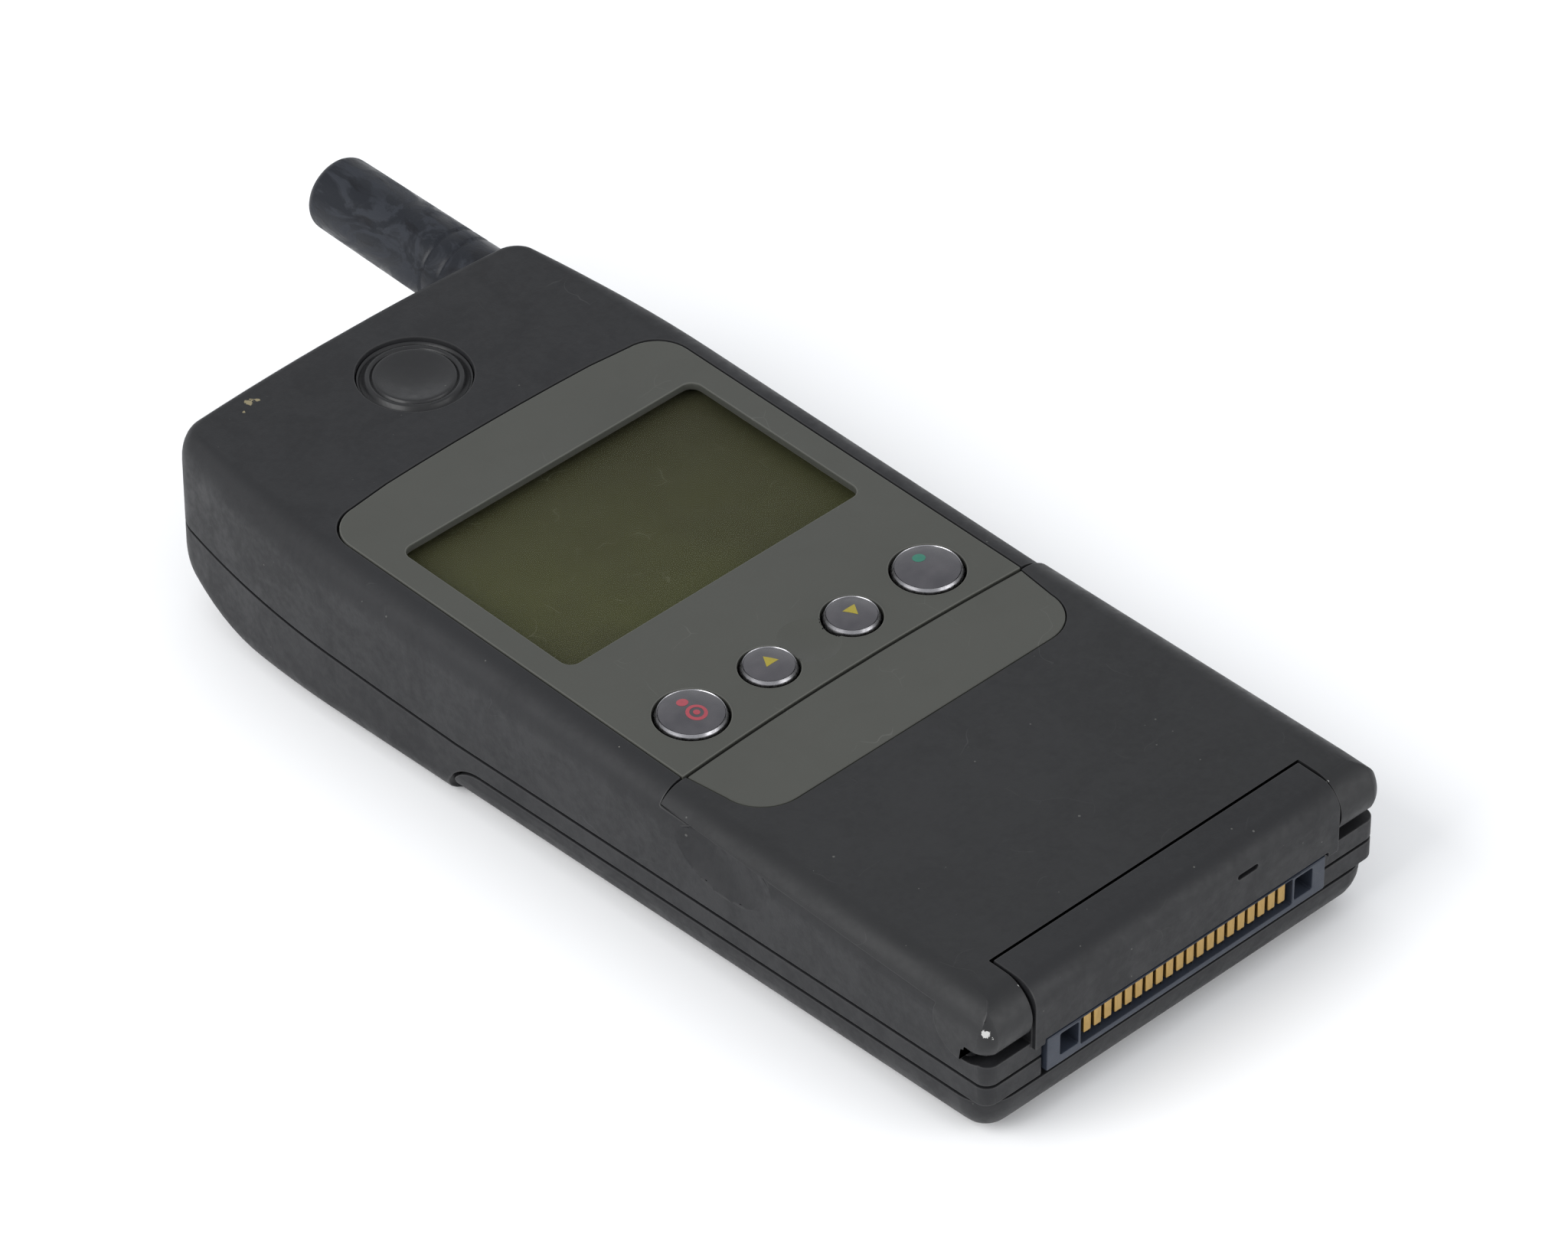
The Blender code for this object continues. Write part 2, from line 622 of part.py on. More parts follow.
def flap_shell():
    levels = edge_levels(FRONT_EDGE, flap_z, -1) + [(0.0, flat(-8.0))]
    flap = place("flap_shell", skin(levels, flap_half))
    trim(flap, side_profile(flap_side(), 30))
    inner = BLOCK_HALF + GAP
    cut(flap, cylinder("x", (-inner, HINGE_Y, HINGE_Z), (inner, HINGE_Y, HINGE_Z), BLOCK_CLEARANCE, 48))
    cut(flap, box((-FLAP_HALF - 1, -3, -8), (FLAP_HALF + 1, 3.2, KNUCKLE_UNDER)))
    pocket = [(9, -3), (44.2, -3), (44.2, flap_z(44.2) - FLAP_SHELL), (9, flap_z(9) - FLAP_SHELL)]
    cut(flap, side_profile(pocket, 23.6))
    for sign in (-1, 1):
        start = (sign * 19, HINGE_Y, HINGE_Z)
        cut(flap, cylinder("x", start, (sign * 25.4, HINGE_Y, HINGE_Z), PIN_RADIUS + GAP, 20))
    recess = [(-0.2, lambda y: flap_z(y) - 0.6), (-0.2, lambda y: flap_z(y) + 2)]
    cut(flap, skin(recess, inlay_half))
    set_origin(flap, (0, HINGE_Y, HINGE_Z))
    return finish(flap, (0.043, 0.044, 0.046), 0.55)


def flap_inlay():
    inlay = place("flap_inlay", skin([(0.0, lambda y: flap_z(y) - 0.4), (0.0, flap_z)], inlay_half))
    set_origin(inlay, (0, HINGE_Y, HINGE_Z))
    return finish(inlay, (0.095, 0.095, 0.085), 0.45)


def hinge_pins():
    for name, start, end in (("hinge_pin_left", -25.1, -8.6), ("hinge_pin_right", 16.0, 25.1)):
        pin = place(name, cylinder("x", (start, HINGE_Y, HINGE_Z), (end, HINGE_Y, HINGE_Z), PIN_RADIUS, 20))
        finish(pin, (0.6, 0.6, 0.62), 0.25, 1.0)


def helix(axis_start, axis, radius, pitch, turns, per_turn=10):
    """Points of a coil that winds along X or Y from a start on its axis."""
    points = []
    for i in range(int(turns * per_turn) + 1):
        angle = 2 * math.pi * i / per_turn
        along, u, v = pitch * i / per_turn, radius * math.cos(angle), radius * math.sin(angle)
        offset = (along, u, v) if axis == "x" else (u, along, v)
        points.append([a + b for a, b in zip(axis_start, offset)])
    return points


def hinge_spring():
    spring = place("hinge_spring", wire(helix((-14.3, HINGE_Y, HINGE_Z), "x", 1.15, 0.62, 8), 0.18, 1))
    return finish(spring, (0.55, 0.55, 0.57), 0.3, 1.0)


# ---------------------------------------------------------------- face

def bezel_plate():
    plate = place("bezel_plate", curve_mesh([bezel_outline()], -BEZEL_THICK, 0))
    window = rounded_rectangle(WINDOW_HALF, WINDOW_LOW, WINDOW_HIGH, 1.3)
    cut(plate, curve_mesh([window], -3, 2))
    cut(plate, key_holes())
    return finish(plate, (0.105, 0.105, 0.095), 0.42)


def function_key(name, x, radius):
    """Domed key with a flange that holds it under the housing."""
    top, flange = 0.35, radius + 0.8
    profile = [(0.0, top + 0.45), (radius * 0.45, top + 0.35), (radius * 0.8, top + 0.1), (radius, top - 0.35)]
    profile += [(radius, -2.5), (flange, -2.5), (flange, -3.1), (radius * 0.5, -3.1)]
    profile += [(radius * 0.5, -4.6), (0.0, -4.6)]
    key = place(name, turned(profile, "z", (x, KEY_ROW_Y, 0), 32))
    set_origin(key, (x, KEY_ROW_Y, 0))
    return finish(key, (0.16, 0.16, 0.17), 0.25)


def pad_key(name, x, y):
    half_x, half_y = PAD_KEY[0] / 2, PAD_KEY[1] / 2
    outline = rounded_rectangle(half_x - 0.4, y - half_y + 0.4, y + half_y - 0.4, 1.6, 3, x)
    key = place(name, curve_mesh([outline], -4.5, -1.65, 0.4))
    flange = rounded_rectangle(half_x + 0.7, y - half_y - 0.7, y + half_y + 0.7, 2.0, 2, x)
    join(key, curve_mesh([flange], -4.75, -4.2))
    set_origin(key, (x, y, 0))
    return finish(key, (0.14, 0.14, 0.14), 0.5)


def earpiece_cover():
    radius = EAR_RADIUS - 0.25
    profile = [(0.0, -0.62), (1.0, -0.55), (2.6, -0.35), (4.0, -0.12), (4.35, -0.35), (4.7, -0.12)]
    profile += [(5.5, 0.0), (radius, -0.15), (radius, -0.9), (0.0, -0.9)]
    cover = place("earpiece_cover", turned(profile, "z", (0, EAR_Y, 0), 36))
    return finish(cover, (0.045, 0.046, 0.05), 0.45)


def display():
    lens_outline = rounded_rectangle(WINDOW_HALF + 1.6, WINDOW_LOW - 1.6, WINDOW_HIGH + 1.6, 1.7)
    finish(place("display_lens", curve_mesh([lens_outline], -2.2, -1.2)), (0.3, 0.31, 0.24), 0.06)
    low, high = WINDOW_LOW - 1.0, WINDOW_HIGH + 0.8
    finish(place("lcd_glass", box((-19.6, low, -4.2), (19.6, high, -2.6))), (0.15, 0.16, 0.09), 0.3)
    frame = place("lcd_frame", box((-22.0, 62.6, -5.9), (22.0, 93.4, -2.6)))
    cut(frame, box((-19.9, low - GAP, -4.5), (19.9, high + GAP, -1)))
    finish(frame, (0.7, 0.7, 0.68), 0.5)


# ---------------------------------------------------------------- inside

def keypad_mat():
    mat = place("keypad_mat", box((-21, 9.8, -5.9), (21, 57.0, -5.35)))
    return finish(mat, (0.35, 0.36, 0.37), 0.7)


def main_board():
    board = place("main_board", box((-23.6, 7.6, BOARD_Z - BOARD_THICK), (23.6, 103, BOARD_Z)))
    for x, y in SCREW_PLACES:
        cut(board, cylinder("z", (x, y, -9), (x, y, -5), SCREW_POST + 0.35, 20))
    return finish(board, (0.03, 0.16, 0.06), 0.4)


def inner_boxes():
    """Parts on the board and in the rear housing that are plain boxes."""
    low = BOARD_Z - BOARD_THICK - GAP
    parts = (("shield_rf", (-17.2, 30, low - 1.1), (17.2, 56, low), (0.65, 0.65, 0.66), 0.3, 1.0),
             ("shield_logic", (-16.5, 82.5, low - 3.0), (16.5, 102, low), (0.65, 0.65, 0.66), 0.3, 1.0),
             ("sim_holder", (-13.5, 62.5, low - 2.2), (13.5, 79.5, low), (0.05, 0.05, 0.05), 0.5, 0.0))
    for name, start, end, colour, roughness, metallic in parts:
        finish(place(name, box(start, end)), colour, roughness, metallic)


def small_electrics():
    speaker = cylinder("z", (0, EAR_Y, -5.2), (0, EAR_Y, -2.5), 5.4, 32)
    finish(place("earpiece_speaker", speaker), (0.4, 0.4, 0.42), 0.35, 1.0)
    buzzer = cylinder("z", (-10.5, 110.6, -11.5), (-10.5, 110.6, -6.5), 4.7, 28)
    finish(place("buzzer", buzzer), (0.03, 0.03, 0.03), 0.4)
    microphone = cylinder("y", (7.9, 2.0, -3.5), (7.9, 4.6, -3.5), 2.1, 24)
    finish(place("microphone", microphone), (0.5, 0.5, 0.5), 0.35, 1.0)


def screws():
    for number, (x, y) in enumerate(SCREW_PLACES, 1):
        head_top, head_low = SCREW_HEAD_Z - 0.15, SCREW_HEAD_Z - 1.25
        profile = [(0.0, -3.2), (0.6, -3.2), (0.6, head_top), (1.5, head_top), (1.5, head_low), (0.0, head_low)]
        screw = place(f"screw_{number}", turned(profile, "z", (x, y, 0), 16))
        finish(screw, (0.3, 0.3, 0.31), 0.3, 1.0)


def antenna():
    bore, tip_round = 2.9, 1.0
    start, end = 121.5, ANTENNA_END
    profile = [(0.0, end), (ANTENNA_TIP - tip_round, end)]
    profile += arc((ANTENNA_TIP - tip_round, end - tip_round), tip_round, 90, 0, 4)[1:]
    profile += [(ANTENNA_BASE, start), (bore, start), (bore, end - 2.2), (0.0, end - 2.2)]
    sleeve = turned(profile, "y", (ANTENNA_X, 0, ANTENNA_Z), 36)
    finish(place("antenna_sleeve", sleeve), (0.025, 0.026, 0.03), 0.4)
    bush = cylinder("y", (ANTENNA_X, 115.5, ANTENNA_Z), (ANTENNA_X, 122.6, ANTENNA_Z), 2.35, 24)
    finish(place("antenna_bush", bush), (0.6, 0.45, 0.2), 0.3, 1.0)
    coil = wire(helix((ANTENNA_X, 123.4, ANTENNA_Z), "y", 2.0, 2.4, 7), 0.35, 1)
    finish(place("antenna_coil", coil), (0.7, 0.4, 0.2), 0.3, 1.0)


# ---------------------------------------------------------------- bottom connector

def connector():
    half = CONNECTOR_HALF
    housing = place("connector_housing", box((-half, 0.1, CONNECTOR_LOW), (half, 6.2, CONNECTOR_TOP)))
    cut(housing, box((-14.35, -1, -9.75), (14.35, 3.2, -6.85)))
    for sign in (-1, 1):
        cut(housing, box((sign * SOCKET_X - 1.2, -1, -9.4), (sign * SOCKET_X + 1.2, 4.4, -6.75)))
    finish(housing, (0.045, 0.055, 0.08), 0.5)
    width = CONTACT_PITCH * CONTACTS / 2
    outline = [(width, 2.1), (width, 2.9), (-width, 2.9), (-width, 2.1)]
    for number in range(CONTACTS):
        middle = (number - (CONTACTS - 1) / 2) * CONTACT_PITCH
        outline += [(middle - 0.47, 2.1), (middle - 0.47, 0.4), (middle + 0.47, 0.4), (middle + 0.47, 2.1)]
    contacts = place("connector_contacts", curve_mesh([outline], -9.4, -7.15))
    finish(contacts, (0.75, 0.5, 0.2), 0.3, 1.0)


# ---------------------------------------------------------------- battery

def battery_inside():
    lid = box((-RAISED_HALF + 1.3, RAISED_LOW + 1.3, 6.5), (RAISED_HALF - 1.3, RAISED_HIGH - 1.3, 7.4))
    finish(place("battery_lid", lid, BACK), (0.05, 0.05, 0.055), 0.5)
    for number in range(3):
        x = (number - 1) * 14.1
        low, high = (x - 6.8, 17.2, 1.5), (x + 6.8, 70.4, 6.1)
        finish(place(f"battery_cell_{number + 1}", box(low, high), BACK), (0.55, 0.55, 0.57), 0.35, 1.0)
    finish(place("battery_board", box((-20, 12.4, 3), (20, 16.6, 4)), BACK), (0.03, 0.16, 0.06), 0.4)


def battery_terminals():
    for name, x in zip(("battery_terminal_minus", "battery_terminal_plus"), TERMINAL_X):
        outline = [(14.0, 9.75), (14.0, 8.0), (16.8, 7.7), (16.9, 8.0), (14.35, 8.3), (14.35, 9.45)]
        outline += [(16.6, 9.45), (16.6, 9.75)]
        finish(place(name, side_profile(outline, 0.8, x), BACK), (0.75, 0.6, 0.3), 0.3, 1.0)


def battery_latch():
    latch = place("battery_latch", box((-7.0, 81.2, 0.3), (7.0, 84.2, 2.6)), BACK)
    join(latch, box((-8.4, 80.6, 2.05), (8.4, 85.5, 3.1)), BACK)
    join(latch, box((-4.0, 76.2, 2.3), (4.0, 81.5, 3.1)), BACK)
    set_origin(latch, (0, 80.6, 2.6))
    finish(latch, (0.05, 0.05, 0.055), 0.5)
    spring = wire(helix((0, 85.9, 2.95), "y", 0.9, 1.03, 6), 0.18, 1)
    finish(place("latch_spring", spring, BACK), (0.55, 0.55, 0.57), 0.3, 1.0)


front_housing()
rear_housing()
battery_case()
flap_shell()
flap_inlay()
hinge_pins()
hinge_spring()
bezel_plate()
for key_name, (key_x, key_radius) in zip(("key_end", "key_up", "key_down", "key_call"), function_key_places()):
    function_key(key_name, key_x, key_radius)
for key_name, key_x, key_y in pad_key_places():
    pad_key(key_name, key_x, key_y)
earpiece_cover()
display()
keypad_mat()
main_board()
inner_boxes()
small_electrics()
screws()
antenna()
connector()
battery_inside()
battery_terminals()
battery_latch()
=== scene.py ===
"""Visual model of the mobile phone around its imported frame.

Shapes are drawn in millimetres in the phone's front frame (z = 0 on the bezel, +Z out of the front,
y = 0 at the bottom end) or its back frame (z = 0 on the table), and placed in metres.
"""
import json
import math

import bmesh
import bpy
from mathutils import Matrix, Vector


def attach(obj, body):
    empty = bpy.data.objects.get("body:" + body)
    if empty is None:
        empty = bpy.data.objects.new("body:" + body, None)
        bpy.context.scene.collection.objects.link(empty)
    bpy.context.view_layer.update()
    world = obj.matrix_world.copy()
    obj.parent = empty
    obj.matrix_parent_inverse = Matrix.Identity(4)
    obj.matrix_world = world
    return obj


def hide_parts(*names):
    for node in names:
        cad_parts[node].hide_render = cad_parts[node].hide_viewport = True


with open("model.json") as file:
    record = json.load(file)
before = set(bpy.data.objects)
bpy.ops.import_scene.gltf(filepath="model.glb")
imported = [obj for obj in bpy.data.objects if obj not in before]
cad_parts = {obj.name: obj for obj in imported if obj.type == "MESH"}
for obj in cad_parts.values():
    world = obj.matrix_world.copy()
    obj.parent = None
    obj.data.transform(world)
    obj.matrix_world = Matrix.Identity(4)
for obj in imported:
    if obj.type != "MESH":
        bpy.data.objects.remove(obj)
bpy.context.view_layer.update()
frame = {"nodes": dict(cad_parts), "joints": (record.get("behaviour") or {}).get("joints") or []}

MM = 0.001
GAP = 0.3
CLOSE_GAP = 0.16
INSIDE = 0.005
PRINT_LIFT = 0.015
TILT = math.radians(2.7)

# Driving dimensions in millimetres. They are the frame's, apart from sharper bottom corners, closer gaps and
# a slightly smaller flap.
LENGTH, LOW_END, HALF_WIDTH, DEPTH = 121.8, 0.5, 26.5, 16.6
SHOULDER_Y, SHOULDER_RADIUS = 94.0, 120.0
TOP_CORNER, TOP_EDGE_RADIUS, BOTTOM_CORNER, BATTERY_CORNER = 4.0, 290.0, 1.4, 3.7
FRONT_EDGE, REAR_EDGE, BATTERY_EDGE, WALL, FRONT_WALL = 3.5, 3.6, 5.0, 1.7, 2.1
TOP_EDGE_SHARE = 0.5
HEEL_START, HEEL_RADIUS = 106.3, 22.0
SEAM_HEIGHT, SEAM_RISE, SEAM_BEND = 8.2, 2.8, 74.0
HINGE_Y, HINGE_Z, KNUCKLE_RADIUS = 3.8, -2.6, 3.7
BLOCK_CLEARANCE, BLOCK_HALF, KNUCKLE_UNDER, KNUCKLE_FLOOR = 4.3, 20.6, -4.3, -5.9
KNUCKLE_END, PIN_RADIUS, PIN_REACH = 1.9, 0.8, 25.4
FLAP_HALF, FLAP_TOP, FLAP_BOW, FLAP_RAISE = 26.88, 45.7, 0.7, 1.09
FLAP_UNDER, FLAP_SHELL, SEAT_Z = -1.4, 1.3, -1.75
BEZEL_THICK, BEZEL_LOW, BEZEL_HIGH, BEZEL_HALF, BEZEL_CORNER = 0.9, 45.97, 99.3, 22.9, 4.2
WINDOW_HALF, WINDOW_LOW, WINDOW_HIGH = 19.8, 65.4, 90.2
KEY_ROW_Y = 52.1
FUNCTION_KEYS = (("key_end", -16.0, 3.65), ("key_up", -5.6, 2.9),
                 ("key_down", 5.6, 2.9), ("key_call", 16.0, 3.65))
PAD_PITCH_X, PAD_PITCH_Y, PAD_FIRST_Y, PAD_KEY = 13.6, 7.8, 14.6, (10.4, 5.2)
DECK_Z, DECK_THICK = -2.7, 1.2
SCREW_HEAD_Z = -9.6
SCREW_PLACES = ((-20.4, 59.6), (20.4, 59.6), (-20.2, 98.4), (20.2, 98.4))
EAR_Y, EAR_RADIUS = 110.3, 6.3
ANTENNA_X, ANTENNA_Z, ANTENNA_BASE, ANTENNA_TIP, ANTENNA_END = 19.2, -5.4, 4.45, 4.2, 144.8
CONTACTS, CONTACT_PITCH = 20, 1.39
CONNECTOR_HALF, CONNECTOR_TOP, CONNECTOR_LOW, SOCKET_X = 18.9, -6.3, -10.4, 15.9
BATTERY_HEIGHT, BATTERY_TOP, BATTERY_NOSE = 5.5, 77.4, 5.2
RAISED_LOW, RAISED_HIGH, RAISED_HALF = 10.9, 72.0, 22.3

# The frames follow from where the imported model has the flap's hinge.
HINGE = next(joint["pos_m"] for joint in frame["joints"] if joint["name"] == "flap_hinge")
TURN_FRONT = Matrix.Rotation(TILT, 4, "X")
FRONT = Matrix.Translation(Vector(HINGE) - TURN_FRONT @ Vector((0, HINGE_Y * MM, HINGE_Z * MM))) @ TURN_FRONT
BACK = Matrix.Translation((0, FRONT.translation.y, 0.0))
SCALE = Matrix.Scale(MM, 4)


# ---------------------------------------------------------------- mesh building

def mesh_from(builder):
    shape = bmesh.new()
    builder(shape)
    bmesh.ops.recalc_face_normals(shape, faces=shape.faces)
    mesh = bpy.data.meshes.new("shape")
    shape.to_mesh(mesh)
    shape.free()
    return mesh


def add_box(shape, low, high):
    middle = [(a + b) / 2 for a, b in zip(low, high)]
    size = [b - a for a, b in zip(low, high)]
    bmesh.ops.create_cube(shape, size=1.0, matrix=Matrix.Translation(middle) @ Matrix.Diagonal((*size, 1.0)))


def boxes(*pairs):
    def build(shape):
        for low, high in pairs:
            add_box(shape, low, high)
    return mesh_from(build)


TURN = {"x": Matrix.Rotation(math.radians(90), 4, "Y"),
        "y": Matrix.Rotation(math.radians(-90), 4, "X"),
        "z": Matrix.Identity(4)}


def add_cylinder(shape, axis, start, end, radius, segments=48):
    start, end = Vector(start), Vector(end)
    matrix = Matrix.Translation((start + end) / 2) @ TURN[axis]
    bmesh.ops.create_cone(shape, cap_ends=True, segments=segments, radius1=radius, radius2=radius,
                          depth=(end - start).length, matrix=matrix)


def cylinder(axis, start, end, radius, segments=48):
    return mesh_from(lambda shape: add_cylinder(shape, axis, start, end, radius, segments))


def arc(centre, radius, start, end, steps):
    angles = [math.radians(start + (end - start) * i / steps) for i in range(steps + 1)]
    return [(centre[0] + radius * math.cos(a), centre[1] + radius * math.sin(a)) for a in angles]


def rounded_rectangle(half_x, low_y, high_y, corner, steps=8, centre_x=0.0):
    points = []
    for sign_x, y, start in ((1, high_y, 0), (-1, high_y, 90), (-1, low_y, 180), (1, low_y, 270)):
        centre = (centre_x + sign_x * (half_x - corner), y - corner if y == high_y else y + corner)
        points += arc(centre, corner, start, start + 90, steps)
    return points


def evaluated_mesh(holder):
    bpy.context.view_layer.update()
    mesh = bpy.data.meshes.new_from_object(holder.evaluated_get(bpy.context.evaluated_depsgraph_get()))
    mesh.transform(holder.matrix_world)
    bpy.data.objects.remove(holder)
    return mesh


def hold(data):
    holder = bpy.data.objects.new("holder", data)
    bpy.context.scene.collection.objects.link(holder)
    return holder


def tidy(mesh, distance=0.001):
    shape = bmesh.new()
    shape.from_mesh(mesh)
    bmesh.ops.remove_doubles(shape, verts=shape.verts, dist=distance)
    bmesh.ops.recalc_face_normals(shape, faces=shape.faces)
    shape.to_mesh(mesh)
    shape.free()
    return mesh


def curve_mesh(outlines, low, high, edge=0.0, edge_steps=2):
    """Flat outlines, filled and extruded between two heights; edge rounds them."""
    curve = bpy.data.curves.new("outline", "CURVE")
    curve.dimensions = "2D"
    curve.fill_mode = "BOTH"
    curve.extrude = (high - low) / 2 - edge
    curve.bevel_depth = edge
    curve.bevel_resolution = edge_steps
    for outline in outlines:
        spline = curve.splines.new("POLY")
        spline.points.add(len(outline) - 1)
        for point, (x, y) in zip(spline.points, outline):
            point.co = (x, y, 0.0, 1.0)
        spline.use_cyclic_u = True
    holder = hold(curve)
    holder.location.z = (high + low) / 2
    return tidy(evaluated_mesh(holder))


def side_profile(outline, half_x, centre_x=0.0):
    """An outline given as (y, z) points, extruded along X."""
    mesh = curve_mesh([outline], -half_x, half_x)
    mesh.transform(Matrix(((0, 0, 1, centre_x), (1, 0, 0, 0), (0, 1, 0, 0), (0, 0, 0, 1))))
    return mesh


def turned(profile, axis, centre, steps=64):
    """A closed solid turned from (radius, height) points, which run from top to bottom."""
    def build(shape):
        rings = []
        for radius, height in profile:
            if radius == 0:
                rings.append([shape.verts.new((0, 0, height))])
                continue
            turns = [2 * math.pi * i / steps for i in range(steps)]
            points = [(radius * math.cos(a), radius * math.sin(a), height) for a in turns]
            rings.append([shape.verts.new(point) for point in points])
        for upper, lower in zip(rings, rings[1:]):
            for i in range(steps):
                j = (i + 1) % steps
                corners = [upper[i % len(upper)], lower[i % len(lower)]]
                corners += [lower[j % len(lower)], upper[j % len(upper)]]
                shape.faces.new(list(dict.fromkeys(corners)))
    mesh = mesh_from(build)
    mesh.transform(Matrix.Translation(centre) @ TURN[axis])
    return mesh


def combine(base, *steps):
    """Apply (operation, tool mesh) steps to a mesh, where the operation is cut, join or trim."""
    names = {"cut": "DIFFERENCE", "join": "UNION", "trim": "INTERSECT"}
    holder = hold(base)
    tools = []
    for operation, mesh in steps:
        tools.append(hold(mesh))
        modifier = holder.modifiers.new(operation, "BOOLEAN")
        modifier.operation = names[operation]
        modifier.object = tools[-1]
        modifier.solver = "EXACT"
    mesh = evaluated_mesh(holder)
    for tool in tools:
        bpy.data.objects.remove(tool)
    return mesh


def flatten(mesh, angle=0.2):
    """Merge coplanar faces, so that bevels and shading run cleanly along the real edges."""
    shape = bmesh.new()
    shape.from_mesh(mesh)
    bmesh.ops.remove_doubles(shape, verts=shape.verts, dist=0.004)
    bmesh.ops.dissolve_degenerate(shape, edges=shape.edges, dist=0.004)
    bmesh.ops.dissolve_limit(shape, angle_limit=math.radians(angle), verts=shape.verts, edges=shape.edges)
    shape.to_mesh(mesh)
    shape.free()
    return mesh


def piece(name, mesh, look, body="root", stands_for=(), place=FRONT, bevel=0.0, edge_look=None,
          sharp=32, segments=2):
    """Put a mesh, in millimetres of one of the frames, into the scene as a piece of the phone."""
    mesh.transform(place @ SCALE)
    mesh.name = name
    mesh.materials.clear()
    for chosen in (look, edge_look):
        if chosen:
            mesh.materials.append(chosen)
    mesh.polygons.foreach_set("material_index", [0] * len(mesh.polygons))
    made = bpy.data.objects.new(name, mesh)
    bpy.context.scene.collection.objects.link(made)
    if bevel:
        modifier = made.modifiers.new("edges", "BEVEL")
        modifier.width = bevel * MM
        modifier.segments = segments
        modifier.limit_method = "ANGLE"
        modifier.angle_limit = math.radians(sharp)
        modifier.use_clamp_overlap = False
        modifier.miter_outer = "MITER_ARC"
        # the edge look on the bevel faces carries a painted highlight along the edges
        if edge_look:
            modifier.material = 1
        bpy.context.view_layer.update()
        rounded = bpy.data.meshes.new_from_object(made.evaluated_get(bpy.context.evaluated_depsgraph_get()))
        made.modifiers.clear()
        made.data = rounded
    made.data.name = name
    made.data.shade_smooth()
    made.data.set_sharp_from_angle(angle=math.radians(sharp + 10))
    weighted = made.modifiers.new("normals", "WEIGHTED_NORMAL")
    weighted.keep_sharp = True
    weighted.weight = 90
    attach(made, body)
    if stands_for:
        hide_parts(*stands_for)
    return made


# ---------------------------------------------------------------- materials

